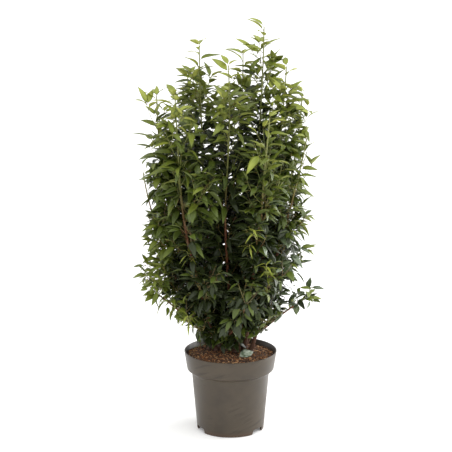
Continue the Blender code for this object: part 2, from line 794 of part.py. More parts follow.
def fuse(mass, template, profile, limb_tree, collection, parts, finish):
    """Join a mass's axis, twigs and leaves into one closed body, with fewer leaves if they don't join."""
    base = twig_object(mass.name, mass.axis, tapered(mass.butt_radius, len(mass.axis)), profile, collection)
    seat_butt(base.data, mass.axis, limb_tree)
    for index, points in enumerate(mass.twigs):
        radii = tapered(TWIG_RADIUS, len(points))
        twig_object(f"{mass.name}_twig_{index}", points, radii, profile, parts)
    for index, matrix in enumerate(mass.leaves):
        leaf = add_object(f"{mass.name}_leaf_{index}", template, parts)
        leaf.matrix_world = matrix
    joined = joined_mesh(base, parts, "MANIFOLD") or joined_mesh(base, parts, "EXACT")
    while joined is None:
        bpy.data.objects.remove(parts.objects[-1])
        joined = joined_mesh(base, parts, "MANIFOLD")
    base.data = joined
    joined.materials.clear()
    joined.materials.append(finish)
    for obj in list(parts.objects):
        bpy.data.objects.remove(obj)
    return base


def joined_mesh(base, parts, solver):
    """The union of a twig with a collection, as one closed triangle mesh, or None where it isn't sound."""
    union = base.modifiers.new("join", "BOOLEAN")
    union.operation = "UNION"
    union.operand_type = "COLLECTION"
    union.collection = parts
    union.solver = solver
    bpy.context.view_layer.update()
    graph = bpy.context.evaluated_depsgraph_get()
    mesh = bpy.data.meshes.new_from_object(base.evaluated_get(graph))
    base.modifiers.remove(union)
    keep_main_body(mesh)
    return mesh if is_closed(mesh) else None


def is_closed(mesh):
    """True where every edge joins two faces, both as the mesh stands and with near points made one."""
    shape = bmesh.new()
    shape.from_mesh(mesh)
    sound = all(edge.is_manifold for edge in shape.edges)
    bmesh.ops.remove_doubles(shape, verts=shape.verts, dist=LEAST_GAP)
    sound = sound and all(edge.is_manifold for edge in shape.edges)
    shape.free()
    return sound


def keep_main_body(mesh):
    """Drop loose scraps and the walls of any hollow that the union sealed."""
    shape = bmesh.new()
    shape.from_mesh(mesh)
    bmesh.ops.triangulate(shape, faces=shape.faces)
    left = set(shape.verts)
    bodies = []
    while left:
        todo = [left.pop()]
        body = set(todo)
        while todo:
            for edge in todo.pop().link_edges:
                fresh = set(edge.verts) - body
                body |= fresh
                left -= fresh
                todo.extend(fresh)
        bodies.append(body)
    bodies.sort(key=len)
    for body in bodies[:-1]:
        bmesh.ops.delete(shape, geom=list(body), context="VERTS")
    shape.to_mesh(mesh)
    shape.free()


def crown_radius(height):
    """The crown's outer radius at a height."""
    for (low, inner), (high, outer) in zip(CROWN_OUTLINE, CROWN_OUTLINE[1:]):
        if height <= high:
            share = max(0.0, (height - low) / (high - low))
            return inner + (outer - inner) * share
    return CROWN_OUTLINE[-1][1]


def leader_masses(paths):
    """A mass on the end of each stem, whose axis is the stem's own last stretch."""
    for name, stem in STEMS.items():
        path, share = paths[name], leader_share(stem)
        end = path(share)
        heading = (end - path(share - share / STEM_JOINTS)).normalized()
        axis = [end + heading * SEAT_GAP, end + heading * LEADER_FIRST_JOINT]
        last = (stem["leader"] - SHORT_OF_TIP) / stem["leader"]
        axis += [path(share + (1 - share) * last * step) for step in LEADER_JOINTS]
        yield Mass(f"leader_foliage_{name}", axis, STEM_LEADER_RADIUS, "leader", stem["height"], name)


def low_masses(low_points):
    """A mass on the end of each low bough, carrying its line on."""
    for name, points in low_points.items():
        heading = (points[-1] - points[-2]).normalized()
        start = points[-1] + heading * SEAT_GAP
        axis = run_points(start, heading, LOW_SPRAY_LENGTH, LOW_SPRAY_LIFT, 2)
        yield Mass(f"{name}_foliage", axis, LOW_BOUGH_TIP_RADIUS, "low", LOW_CEILING, name)


def add_side_masses(paths, limb_tree, guard, masses):
    """Add the side sprays, tier by tier: each runs from the nearest stem that leaves a clear way."""
    centre = Vector((*CROWN_CENTRE, 0.0))
    for level, tier in enumerate(TIERS, 1):
        for index in range(tier["sprays"]):
            angle = math.radians(tier["turn"] + index * 360 / tier["sprays"])
            reach = crown_radius(tier["height"]) - SPRAY_SHORT_OF_OUTLINE
            tip = centre + Vector((reach * math.cos(angle), reach * math.sin(angle), tier["height"]))
            axis = clear_axis(tip, tier["rise"], paths, limb_tree, guard, masses)
            if axis is not None:
                name = f"side_foliage_{level}_{index + 1}"
                masses.append(Mass(name, axis, BOUGH_RADIUS, "side", tip.z + SHORT_OF_TIP, name))


def clear_axis(tip, rise, paths, limb_tree, guard, masses):
    """The axis of a side spray to tip, from whichever stem gives the shortest clear run."""
    runs = []
    for name, path in paths.items():
        stem = STEMS[name]
        share = (tip.z - rise - COMPOST_TOP) / (stem["height"] - COMPOST_TOP)
        if not SPRAY_LOWEST_ROOT < share < leader_share(stem) - SPRAY_BELOW_LEADER:
            continue
        root = path(share)
        outward = Vector((tip.x - root.x, tip.y - root.y, 0.0))
        if outward.length >= SPRAY_LEAST_REACH:
            runs.append((outward.length, root))
    for _, root in sorted(runs, key=lambda run: run[0]):
        chord = tip - root
        bend = root + chord * 0.5 - Vector((0.0, 0.0, SPRAY_SAG * chord.length))
        heading = (bend - root).normalized()
        start = seated_on(limb_tree, root, heading, BOUGH_RADIUS)
        axis = curved_through(start, bend, tip, SPRAY_JOINTS)
        if axis_is_clear(axis, limb_tree, guard, masses):
            return axis
    return None


def axis_is_clear(axis, limb_tree, guard, masses):
    """True where a spray's axis touches no limb, and runs near no other mass's axis."""
    whole = placed_piece(*tube(axis, BOUGH_RADIUS))
    past_butt = [axis[0].lerp(axis[1], SPRAY_BUTT_SHARE), *axis[1:]]
    beyond = placed_piece(*tube(past_butt, BOUGH_RADIUS))
    if whole[2].overlap(limb_tree) or beyond[2].overlap(guard):
        return False
    places = [axis[0].lerp(axis[-1], (step + 1) / AXIS_SAMPLES) for step in range(AXIS_SAMPLES)]
    return all(distance_to_axis(place, mass.axis) >= LEAST_AXIS_GAP for mass in masses for place in places)


def faces_tree(objects, margin=0.0):
    """A tree of the objects' faces, each object swollen by a margin."""
    verts, faces = [], []
    for obj in objects:
        mesh = evaluated_mesh(obj)
        mesh.transform(obj.matrix_world)
        at = len(verts)
        verts += [vert.co + vert.normal * margin for vert in mesh.vertices]
        faces += [tuple(at + i for i in face.vertices) for face in mesh.polygons]
        bpy.data.meshes.remove(mesh)
    return BVHTree.FromPolygons(verts, faces)


def make_fallen_leaf(template, ground_tree, collection, finish):
    """The old leaf, leaning with its lowest corner a hair above the compost."""
    turn = Matrix.Rotation(math.radians(FALLEN_TURN), 4, "Z")
    pitch = Matrix.Rotation(math.radians(-FALLEN_PITCH), 4, "Y")
    lean = Matrix.Rotation(math.radians(FALLEN_LEAN), 4, "X")
    mesh = template.copy()
    mesh.transform(turn @ pitch @ lean @ Matrix.Scale(FALLEN_LENGTH, 4))
    mesh.transform(Matrix.Translation((*FALLEN_PLACE, POT_HEIGHT + LEAF_LENGTH)))
    down = Vector((0.0, 0.0, -1.0))
    ends = [[mesh.vertices[i].co for i in edge.vertices] for edge in mesh.edges]
    points = [a.lerp(b, step / FALLEN_SAMPLES) for a, b in ends for step in range(FALLEN_SAMPLES + 1)]
    drop = min(ground_tree.ray_cast(point, down)[3] for point in points) - CLEARANCE
    mesh.transform(Matrix.Translation(down * drop))
    return add_object("fallen_leaf", mesh, collection, finish)


def main():
    """Build the pot, the compost, the limbs and then the foliage."""
    clear_scene()
    plant = new_collection("potted_portugal_laurel")
    cutters = new_collection("cutters")
    parts = new_collection("mass_parts")
    bark_finish, leaf_finish = material(*BARK_FINISH), material(*LEAF_FINISH)

    make_pot(plant, cutters, material(*POT_FINISH))
    compost = make_compost(plant, material(*COMPOST_FINISH))
    paths = {name: stem_path(stem, name) for name, stem in STEMS.items()}
    stems = [make_stem(name, stem, plant, bark_finish) for name, stem in STEMS.items()]
    bpy.context.view_layer.update()
    stem_tree = faces_tree(stems)
    low_limbs, low_points = [], {}
    for name, bough in LOW_BOUGHS.items():
        path = paths[bough["stem"]]
        limb, low_points[name] = make_low_bough(name, bough, path, stem_tree, plant, bark_finish)
        low_limbs.append(limb)
    bpy.context.view_layer.update()
    limb_tree = faces_tree(stems + low_limbs)
    guard = faces_tree(stems + low_limbs, LIMB_MARGIN)

    masses = [*leader_masses(paths), *low_masses(low_points)]
    add_side_masses(paths, limb_tree, guard, masses)
    template = leaf_template()
    profile = twig_profile(cutters)
    for mass in masses:
        grow_twigs(mass, masses, guard)
    for mass in masses:
        mass.skeleton = [mass.axis, *mass.twigs]
    for mass in masses:
        grow_leaves(mass, masses, guard, template)
    for mass in masses:
        fuse(mass, template, profile, limb_tree, plant, parts, leaf_finish)
    make_fallen_leaf(template, faces_tree([compost]), plant, material(*OLD_LEAF_FINISH))
    bpy.data.collections.remove(parts)


main()
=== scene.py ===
"""The looks of a potted portugal laurel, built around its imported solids.

The shrub is grown again by the rule that made its solids, and carried on to finer twigs and to leaves
of their real size. Lengths are metres, +Z is up, and the front faces -Y.
"""

import logging
import math
import random
from dataclasses import dataclass, field
from enum import Enum
from typing import Iterator, Sequence

import bmesh
import bpy
from bmesh.types import BMesh
from bpy.types import ID, Curve, Material, Mesh, Node, NodeTree, Object
from mathutils import Matrix, Vector, noise
from mathutils.bvhtree import BVHTree
from mathutils.geometry import intersect_point_line

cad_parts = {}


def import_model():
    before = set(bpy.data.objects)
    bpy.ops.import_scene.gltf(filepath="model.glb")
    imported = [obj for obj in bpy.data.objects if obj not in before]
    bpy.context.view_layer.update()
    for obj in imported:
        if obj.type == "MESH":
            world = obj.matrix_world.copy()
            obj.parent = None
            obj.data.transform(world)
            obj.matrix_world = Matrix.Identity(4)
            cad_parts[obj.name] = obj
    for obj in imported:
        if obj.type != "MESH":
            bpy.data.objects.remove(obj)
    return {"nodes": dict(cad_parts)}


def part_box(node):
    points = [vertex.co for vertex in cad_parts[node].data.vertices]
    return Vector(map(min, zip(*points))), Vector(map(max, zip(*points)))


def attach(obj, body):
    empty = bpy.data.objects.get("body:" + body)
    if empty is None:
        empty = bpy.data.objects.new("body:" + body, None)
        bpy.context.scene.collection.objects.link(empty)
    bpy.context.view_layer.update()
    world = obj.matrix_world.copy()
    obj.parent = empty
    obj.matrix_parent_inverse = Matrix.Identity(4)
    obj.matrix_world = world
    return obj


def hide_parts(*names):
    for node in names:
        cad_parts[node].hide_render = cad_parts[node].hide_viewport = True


LOG = logging.getLogger("potted_portugal_laurel")
BODY = "root"
SEED = 7
GOLDEN_TURN = math.radians(137.5)
UP = Vector((0.0, 0.0, 1.0))
RIGHT = Vector((1.0, 0.0, 0.0))
# Where the camera stands, in front of the plant and above it.
VIEWPOINT = Vector((-0.0136, -4.5, 1.623))
Span = tuple[float, float]
Spot = tuple[float, float, float]
Corners = tuple[int, ...]
Socket = tuple[Node, str | int]


class Slot(Enum):
    """The record's material slots."""

    POT = "pot"
    COMPOST = "compost"
    BARK = "bark"
    FOLIAGE = "foliage"
    OLD_LEAF = "old_leaf"


class Kind(Enum):
    """Where a mass of foliage grows."""

    LEADER = "leader"
    SIDE = "side"
    LOW = "low"
    INNER = "inner"
    HANGING = "hanging"


class Age(Enum):
    """How old a leaf is, which sets its green. SHADED is not an age but painted shade, a near-black green for
    leaves deep in the crown and low down, and GLOSSY is a glossy leaf whose pale grey-green is partly painted
    sheen.
    """

    YOUNG = "young"
    FRESH = "fresh"
    MATURE = "mature"
    SHADED = "shaded"
    GLOSSY = "glossy"


class Wood(Enum):
    """The pieces that the twigs are made in, by the colour of their skin."""

    YOUNG = "young_twigs"
    GREEN = "green_twigs"
    OLIVE = "olive_twigs"


class Face(Enum):
    """The parts of a leaf that differ in colour, as the numbers kept on its faces."""

    UPPER = 0
    UNDER = 1
    STALK = 2

    @property
    def label(self) -> str:
        """The name of its input on a node tree."""
        return self.name.title()


Skins = dict[Face, Material]


# ---- Small helpers ----


def linear(colour: str) -> tuple[float, float, float, float]:
    """Turn an sRGB hex colour to linear.

    Args:
        colour: Six hex digits after a hash.

    Returns:
        Linear red, green, blue and an alpha of 1.
    """
    parts = [int(colour[i : i + 2], 16) / 255 for i in (1, 3, 5)]
    red, green, blue = (c / 12.92 if c <= 0.04045 else ((c + 0.055) / 1.055) ** 2.4 for c in parts)
    return red, green, blue, 1.0


def scale_for(size: float) -> float:
    """The scale of a pattern whose features are a size in millimetres across."""
    return 1000.0 / size


def add_node(
    tree: NodeTree,
    kind: str,
    values: dict | None = None,
    links: dict[str | int, Socket] | None = None,
    settings: dict[str, str] | None = None,
    stops: Sequence[tuple[float, str]] = (),
) -> Node:
    """Add a node with its settings, its sockets' values and its incoming links.

    Args:
        tree: The node tree.
        kind: The node's type name.
        values: Default values by input name or number.
        links: Outputs of other nodes by input name or number.
        settings: Attributes of the node.
        stops: A colour ramp's places, rising from 0 to 1, each with a hex colour.

    Returns:
        The new node.
    """
    node = tree.nodes.new(kind)
    for name, value in (settings or {}).items():
        setattr(node, name, value)
    for name, value in (values or {}).items():
        node.inputs[name].default_value = value
    for name, (source, output) in (links or {}).items():
        tree.links.new(source.outputs[output], node.inputs[name])
    for index, (place, colour) in enumerate(stops):
        elements = node.color_ramp.elements
        element = elements[index] if index < 2 else elements.new(place)
        element.position = place
        element.color = linear(colour)
    return node


def new_geometry_tree(name: str, inputs: dict[str, str]) -> tuple[NodeTree, Node]:
    """Start a Geometry Nodes tree that takes a mesh and named inputs, and gives a mesh.

    Args:
        name: The tree's name.
        inputs: The type of each further input, by its name.

    Returns:
        The tree and its input node.
    """
    tree = bpy.data.node_groups.new(name, "GeometryNodeTree")
    for label, kind in {"Geometry": "Geometry", **inputs}.items():
        tree.interface.new_socket(label, in_out="INPUT", socket_type=f"NodeSocket{kind}")
    tree.interface.new_socket("Geometry", in_out="OUTPUT", socket_type="NodeSocketGeometry")
    return tree, add_node(tree, "NodeGroupInput")


def set_forms(tree: NodeTree, given: Node, forms: str, at: dict[str | int, Socket]) -> Socket:
    """Set the forms of a collection on points and realise them.

    Args:
        tree: The node tree.
        given: Its input node.
        forms: The name of its input for the collection.
        at: The points, and the index, rotation and scale of the form on each.

    Returns:
        The realised geometry.
    """
    whole = {"Separate Children": True, "Reset Children": True}
    picked = add_node(tree, "GeometryNodeCollectionInfo", whole, {"Collection": (given, forms)})
    links = {"Instance": (picked, "Instances"), **at}
    set_on = add_node(tree, "GeometryNodeInstanceOnPoints", {"Pick Instance": True}, links)
    made = add_node(tree, "GeometryNodeRealizeInstances", links={"Geometry": (set_on, "Instances")})
    return made, "Geometry"


def put_tree_on(obj: Object, tree: NodeTree, inputs: dict[str, object]) -> None:
    """Give an object a node tree as a modifier.

    Args:
        obj: The object.
        tree: The node tree.
        inputs: The value of each input by its name, set by the socket's identifier.
    """
    modifier = obj.modifiers.new(tree.name, "NODES")
    modifier.node_group = tree
    sockets = {item.name: item.identifier for item in tree.interface.items_tree if item.in_out == "INPUT"}
    for name, value in inputs.items():
        modifier[sockets[name]] = value


def new_object(name: str, data: ID) -> Object:
    """Make an object from mesh or curve data and link it to the scene."""
    made = bpy.data.objects.new(name, data)
    bpy.context.scene.collection.objects.link(made)
    return made


def mesh_from(name: str, verts: Sequence, faces: Sequence[Corners]) -> Mesh:
    """Make a mesh from vertices and faces, with its normals pointing out."""
    mesh = bpy.data.meshes.new(name)
    mesh.from_pydata([tuple(vert) for vert in verts], [], faces)
    turn_outwards(mesh)
    mesh.shade_smooth()
    return mesh


def turn_outwards(mesh: Mesh, merge: bool = False) -> None:
    """Make a mesh's faces point outwards, with its doubled vertices merged first where asked."""
    shape = bmesh.new()
    shape.from_mesh(mesh)
    if merge:
        bmesh.ops.remove_doubles(shape, verts=shape.verts, dist=1e-6)
    bmesh.ops.recalc_face_normals(shape, faces=shape.faces)
    shape.to_mesh(mesh)
    shape.free()


def mesh_of(shape: BMesh, name: str) -> Mesh:
    """Make a mesh of a shape, and free the shape."""
    mesh = bpy.data.meshes.new(name)
    shape.to_mesh(mesh)
    shape.free()
    return mesh


def turned(name: str, profile: list[Span], steps: int) -> Object:
    """Turn a profile round the Z axis.

    Args:
        name: The object's name.
        profile: The radius and height of its points, from the axis round to the axis.
        steps: The number of faces round the axis.

    Returns:
        The object, with its modifier live.
    """
    mesh = bpy.data.meshes.new(name)
    edges = [(i, i + 1) for i in range(len(profile) - 1)]
    mesh.from_pydata([(radius, 0.0, height) for radius, height in profile], edges, [])
    made = new_object(name, mesh)
    screw = made.modifiers.new("turn", "SCREW")
    screw.steps = screw.render_steps = steps
    screw.use_merge_vertices = True
    screw.merge_threshold = 0.0001
    return made


def baked(obj: Object, name: str) -> Object:
    """Replace an object by a plain mesh object of what its modifiers make, and remove it.

    Args:
        obj: The object with its live modifiers.
        name: The new object's name.

    Returns:
        The plain object.
    """
    graph = bpy.context.evaluated_depsgraph_get()
    mesh = bpy.data.meshes.new_from_object(obj.evaluated_get(graph))
    bpy.data.objects.remove(obj)
    mesh.name = name
    return new_object(name, mesh)


def finish_piece(obj: Object, slot: Slot, *nodes: str) -> Object:
    """Put a piece on the plant's body and hide the solids that it stands for; its slot is not used."""
    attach(obj, BODY)
    if nodes:
        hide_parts(*nodes)
    obj.data.calc_loop_triangles()
    LOG.info("%s: %d triangles", obj.name, len(obj.data.loop_triangles))
    return obj


# ---- Finishes ----


class Surface:
    """A material under way: its nodes, its shader, and a link to where its patterns lie."""

    def __init__(self, name: str, sockets: dict[str, float]) -> None:
        """Start a material, with values on its shader's own sockets."""
        self.material = bpy.data.materials.new(name)
        self.material.use_nodes = True
        self.tree = self.material.node_tree
        self.shader = self.tree.nodes["Principled BSDF"]
        for socket, value in sockets.items():
            self.shader.inputs[socket].default_value = value
        self.at: dict[str, Socket] = {"Vector": (add_node(self.tree, "ShaderNodeTexCoord"), "Object")}

    def finish(self, sources: dict[str, Socket]) -> Material:
        """Link outputs to the shader's sockets by name, and give the material."""
        for socket, (node, output) in sources.items():
            self.tree.links.new(node.outputs[output], self.shader.inputs[socket])
        return self.material


@dataclass(frozen=True)
class MouldedPolypropylene:
    """Injection-moulded recycled polypropylene: satin, warm grey, with handling scuffs and dust.

    Sizes are millimetres, and a slant is in radians.
    """

    base: str = "#3e3426"
    dusty: str = "#483e30"
    scuffed: str = "#31281c"
    dirt: str = "#5a3418"
    cloud: float = 111.1
    scuff_length: float = 70.0
    scuff_width: float = 8.0
    scuff_slant: float = -0.38
    dirt_height: float = 16.0
    dirt_patch: float = 16.67
    grain: float = 1.111
    smoothest: float = 0.28
    roughest: float = 0.52

    def build(self) -> Material:
        """Make the material."""
        skin = Surface("moulded_polypropylene", {"IOR": 1.49})
        look = {"Scale": scale_for(self.cloud), "Detail": 6.0, "Roughness": 0.6}
        cloud = add_node(skin.tree, "ShaderNodeTexNoise", look, skin.at)
        tints = ((0.30, self.scuffed), (0.50, self.base), (0.74, self.dusty))
        tone = add_node(skin.tree, "ShaderNodeValToRGB", links={"Fac": (cloud, "Fac")}, stops=tints)
        mixed = {"data_type": "RGBA", "blend_type": "MIX"}
        under = {6: (tone, "Color"), 0: self._scuffs(skin, (cloud, "Fac"))}
        worn = add_node(skin.tree, "ShaderNodeMix", {7: linear(self.scuffed)}, under, mixed)
        under = {6: (worn, 2), 0: self._film(skin)}
        dirty = add_node(skin.tree, "ShaderNodeMix", {7: linear(self.dirt)}, under, mixed)
        span = {"From Min": 0.3, "From Max": 0.7, "To Min": self.smoothest, "To Max": self.roughest}
        gloss = add_node(skin.tree, "ShaderNodeMapRange", span, {"Value": (cloud, "Fac")})
        # The mould was spark-eroded, which leaves a fine even grain.
        look = {"Scale": scale_for(self.grain)}
        grain = add_node(skin.tree, "ShaderNodeTexNoise", look, skin.at)
        lift = {"Strength": 0.12, "Distance": 0.0004}
        bump = add_node(skin.tree, "ShaderNodeBump", lift, {"Height": (grain, "Fac")})
        rough = (gloss, "Result")
        return skin.finish({"Base Color": (dirty, 2), "Roughness": rough, "Normal": (bump, "Normal")})

    def _scuffs(self, skin: Surface, cloud: Socket) -> Socket:
        """Long scuffs that slant up round the wall, in patches."""
        length, width = self.scuff_length / 1000, self.scuff_width / 1000
        lie = {"Rotation": (0.0, self.scuff_slant, 0.0), "Scale": (length, length, width)}
        lean = add_node(skin.tree, "ShaderNodeMapping", lie, skin.at, {"vector_type": "TEXTURE"})
        look = {"Scale": 1.0, "Detail": 3.0}
        streaks = add_node(skin.tree, "ShaderNodeTexNoise", look, {"Vector": (lean, "Vector")})
        edges = ((0.52, "#000000"), (0.66, "#ffffff"))
        marks = add_node(skin.tree, "ShaderNodeValToRGB", links={"Fac": (streaks, "Fac")}, stops=edges)
        span = {"From Min": 0.50, "From Max": 0.58, "To Max": 0.9}
        patches = add_node(skin.tree, "ShaderNodeMapRange", span, {"Value": cloud})
        both = {0: (marks, "Color"), 1: (patches, "Result")}
        return add_node(skin.tree, "ShaderNodeMath", links=both, settings={"operation": "MULTIPLY"}), "Value"

    def _film(self, skin: Surface) -> Socket:
        """The patchy brown film that damp compost has left along the foot."""
        axes = add_node(skin.tree, "ShaderNodeSeparateXYZ", links=skin.at)
        span = {"From Min": 0.001, "From Max": self.dirt_height / 1000, "To Min": 0.62, "To Max": 0.0}
        low = add_node(skin.tree, "ShaderNodeMapRange", span, {"Value": (axes, "Z")})
        look = {"Scale": scale_for(self.dirt_patch), "Detail": 4.0}
        patchy = add_node(skin.tree, "ShaderNodeTexNoise", look, skin.at)
        both = {0: (low, "Result"), 1: (patchy, "Fac")}
        return add_node(skin.tree, "ShaderNodeMath", links=both, settings={"operation": "MULTIPLY"}), "Value"


@dataclass(frozen=True)
class CompostedBark:
    """Damp composted bark: crumbly and matt, near black to red-brown. A crumb is in millimetres."""

    name: str = "composted_bark"
    stops: tuple[tuple[float, str], ...] = (
        (0.30, "#22170d"),
        (0.46, "#402b1b"),
        (0.60, "#644226"),
        (0.76, "#8f6640"),
    )
    crumb: float = 3.846
    roughness: float = 0.92

    def build(self) -> Material:
        """Make the material."""
        skin = Surface(self.name, {"Roughness": self.roughness})
        look = {"Scale": scale_for(self.crumb), "Detail": 8.0, "Roughness": 0.7}
        crumbs = add_node(skin.tree, "ShaderNodeTexNoise", look, skin.at)
        tone = add_node(skin.tree, "ShaderNodeValToRGB", links={"Fac": (crumbs, "Fac")}, stops=self.stops)
        lift = {"Strength": 0.8, "Distance": 0.002}
        bump = add_node(skin.tree, "ShaderNodeBump", lift, {"Height": (crumbs, "Fac")})
        return skin.finish({"Base Color": (tone, "Color"), "Normal": (bump, "Normal")})


# Loose chips are drier than the bed: tan where newly broken, red-brown, or dark where rotted.
CHIP_FINISHES = {
    "tan": CompostedBark("tan_bark_chip", ((0.35, "#a0724c"), (0.65, "#c89f70")), 3.333, 0.85),
    "red": CompostedBark("red_bark_chip", ((0.35, "#744626"), (0.65, "#9a6538")), 3.333, 0.85),
    "dark": CompostedBark("dark_bark_chip", ((0.35, "#2a1d14"), (0.65, "#40291a")), 3.333, 0.9),
}


@dataclass(frozen=True)
class YoungBark:
    """Smooth bark of young laurel wood: red-brown and dusty below, green where it is this year's.

    Heights are metres, and a lenticel's sizes are millimetres.
    """

    low: str = "#4d311e"
    middle: str = "#7c4a2b"
    high: str = "#7d8142"
    foot: float = 0.23
    top: float = 1.20
    green_from: float = 0.62
    green_to: float = 0.80
    lenticel_width: float = 3.846
    lenticel_height: float = 1.111

    def build(self) -> Material:
        """Make the material."""
        skin = Surface("young_laurel_bark", {"Roughness": 0.55})
        axes = add_node(skin.tree, "ShaderNodeSeparateXYZ", links=skin.at)
        span = {"From Min": self.foot, "From Max": self.top}
        height = add_node(skin.tree, "ShaderNodeMapRange", span, {"Value": (axes, "Z")})
        rise = self.top - self.foot
        tints = (
            (0.0, self.low),
            (0.25, self.middle),
            ((self.green_from - self.foot) / rise, self.middle),
            ((self.green_to - self.foot) / rise, self.high),
        )
        tone = add_node(skin.tree, "ShaderNodeValToRGB", links={"Fac": (height, "Result")}, stops=tints)
        # Lenticels are short pale dashes across the stem.
        wide, high = scale_for(self.lenticel_width), scale_for(self.lenticel_height)
        flat = add_node(skin.tree, "ShaderNodeMapping", {"Scale": (wide, wide, high)}, skin.at)
        dashes = add_node(skin.tree, "ShaderNodeTexVoronoi", {"Scale": 1.0}, {"Vector": (flat, "Vector")})
        edges = ((0.10, "#ffffff"), (0.26, "#000000"))
        pale = add_node(skin.tree, "ShaderNodeValToRGB", links={"Fac": (dashes, "Distance")}, stops=edges)
        both = {6: (tone, "Color"), 7: (pale, "Color")}
        screen = {"data_type": "RGBA", "blend_type": "SCREEN"}
        mottled = add_node(skin.tree, "ShaderNodeMix", {0: 0.16}, both, screen)
        lift = {"Strength": 0.5, "Distance": 0.0005}
        bump = add_node(skin.tree, "ShaderNodeBump", lift, {"Height": (dashes, "Distance")})
        return skin.finish({"Base Color": (mottled, 2), "Normal": (bump, "Normal")})


@dataclass(frozen=True)
class LeafSkin:
    """The waxy skin of a laurel leaf: a thick clear cuticle over green, which gives soft gloss.

    Leaves differ a little from one to the next, which noise as wide as a leaf gives. Its drift and the
    blisters between the veins are in millimetres.
    """

    name: str
    colour: str
    darker: str
    roughness: float = 0.34
    coat: float = 0.25
    drift: float = 58.82
    blister: float = 4.167

    def build(self) -> Material:
        """Make the material."""
        gloss = {"Roughness": self.roughness, "IOR": 1.45, "Coat Weight": self.coat, "Coat Roughness": 0.22}
        skin = Surface(self.name, gloss)
        look = {"Scale": scale_for(self.drift), "Detail": 3.0}
        tint = add_node(skin.tree, "ShaderNodeTexNoise", look, skin.at)
        greens = ((0.36, self.darker), (0.62, self.colour))
        tone = add_node(skin.tree, "ShaderNodeValToRGB", links={"Fac": (tint, "Fac")}, stops=greens)
        look = {"Scale": scale_for(self.blister)}
        blisters = add_node(skin.tree, "ShaderNodeTexNoise", look, skin.at)
        lift = {"Strength": 0.25, "Distance": 0.0006}
        bump = add_node(skin.tree, "ShaderNodeBump", lift, {"Height": (blisters, "Fac")})
        return skin.finish({"Base Color": (tone, "Color"), "Normal": (bump, "Normal")})


# Each age's colour and the darker one that it drifts to, its roughness and its clear coat. SHADED's
# near-black greens are painted shade, for leaves deep in the crown and low down, and GLOSSY's pale grey-green
# is partly painted sheen over a real clear coat.
UPPER_LOOKS = {
    Age.YOUNG: ("#969f3e", "#78842c", 0.46, 0.0),
    Age.FRESH: ("#74802c", "#5a671e", 0.44, 0.0),
    Age.MATURE: ("#586722", "#414f17", 0.42, 0.05),
    Age.SHADED: ("#2a350f", "#1e2809", 0.42, 0.05),
    Age.GLOSSY: ("#687659", "#4b5939", 0.26, 0.6),
}
# The same for each age's underside, which is paler than its top as a laurel leaf's is; SHADED's dark
# undersides are painted shade too.
UNDER_LOOKS = {
    Age.YOUNG: ("#adb25a", "#949940", 0.60, 0.0),
    Age.FRESH: ("#858c42", "#717a32", 0.60, 0.0),
    Age.MATURE: ("#616c31", "#4f5a27", 0.60, 0.0),
    Age.SHADED: ("#3b471c", "#2e3a14", 0.60, 0.0),
    Age.GLOSSY: ("#75825c", "#5e6b46", 0.60, 0.0),
}
TWIG_SKINS = {
    Wood.YOUNG: LeafSkin("young_shoot_skin", "#b3b362", "#98a04a"),
    Wood.GREEN: LeafSkin("green_shoot_skin", "#8b8f4a", "#6f7a3a"),
    Wood.OLIVE: LeafSkin("olive_twig_bark", "#76703a", "#664a2a"),
}
STALK_SKIN = LeafSkin("green_leaf_stalk", "#89853f", "#75602f", 0.50, 0.0)
OLD_SKIN = LeafSkin("old_leaf_skin", "#a9b3a0", "#4f6046", 0.40, 0.25, 8.333)


def leaf_skins(age: Age) -> Skins:
    """Make the materials of the three kinds of surface on a leaf of one age; the SHADED greens are painted
    shade and the GLOSSY ones partly painted sheen.
    """
    return {
        Face.UPPER: LeafSkin(f"{age.value}_leaf_upper_skin", *UPPER_LOOKS[age]).build(),
        Face.UNDER: LeafSkin(f"{age.value}_leaf_underside", *UNDER_LOOKS[age]).build(),
        Face.STALK: STALK_SKIN.build(),
    }


# ---- The plant's plan, as its solids have it ----


@dataclass(frozen=True)
class PotPlan:
    """The sizes of the pot and of the compost in it."""

    height: float = 0.245
    rim_radius: float = 0.140
    rim_lip: float = 0.0035
    band_depth: float = 0.0565
    band_foot_radius: float = 0.1315
    step_depth: float = 0.0675
    wall_top_radius: float = 0.1172
    foot_radius: float = 0.1015
    foot_width: float = 0.006
    wall: float = 0.0025
    floor_underside: float = 0.0170
    pad_radius: float = 0.034
    pad_slope: float = 0.002
    notch_count: int = 3
    notch_first_angle: float = 205.0
    notch_width: float = 0.052
    notch_height: float = 0.0150
    drain_count: int = 6
    drain_first_angle: float = 26.0
    drain_circle: float = 0.066
    drain_radius: float = 0.006
    compost_edge: float = 0.230
    compost_top: float = 0.236
    level_radius: float = 0.098
    corner_share: float = 0.35

    def lining(self, inset: float) -> list[Span]:
        """Follow the outer side at a distance inside it.

        Args:
            inset: The distance.

        Returns:
            The radius and height of points from the floor's middle to the foot of the rim band.
        """
        slope = (self.wall_top_radius - self.foot_radius) / (self.height - self.step_depth)
        floor = self.floor_underside + inset
        corner = self.corner_share * inset
        return [
            (0.0, inset),
            (self.pad_radius - inset, inset),
            (self.pad_radius + self.pad_slope - inset, floor),
            (self.foot_radius + slope * floor - inset, floor),
            (self.wall_top_radius - inset, self.height - self.step_depth + corner),
            (self.band_foot_radius - inset, self.height - self.band_depth + corner),
        ]


POT = PotPlan()
CLEARANCE = 0.0003
# What grows from a limb sets out a little way off its centre line, a hair clear of it.
STEP_OFF = 0.004
SEAT_GAP = CLEARANCE * 1.4


@dataclass(frozen=True)
class StemPlan:
    """One stem: plan positions of its foot and tip, its height, and the length of its leader."""

    foot: Span
    tip: Span
    height: float
    spread: float
    leader: float


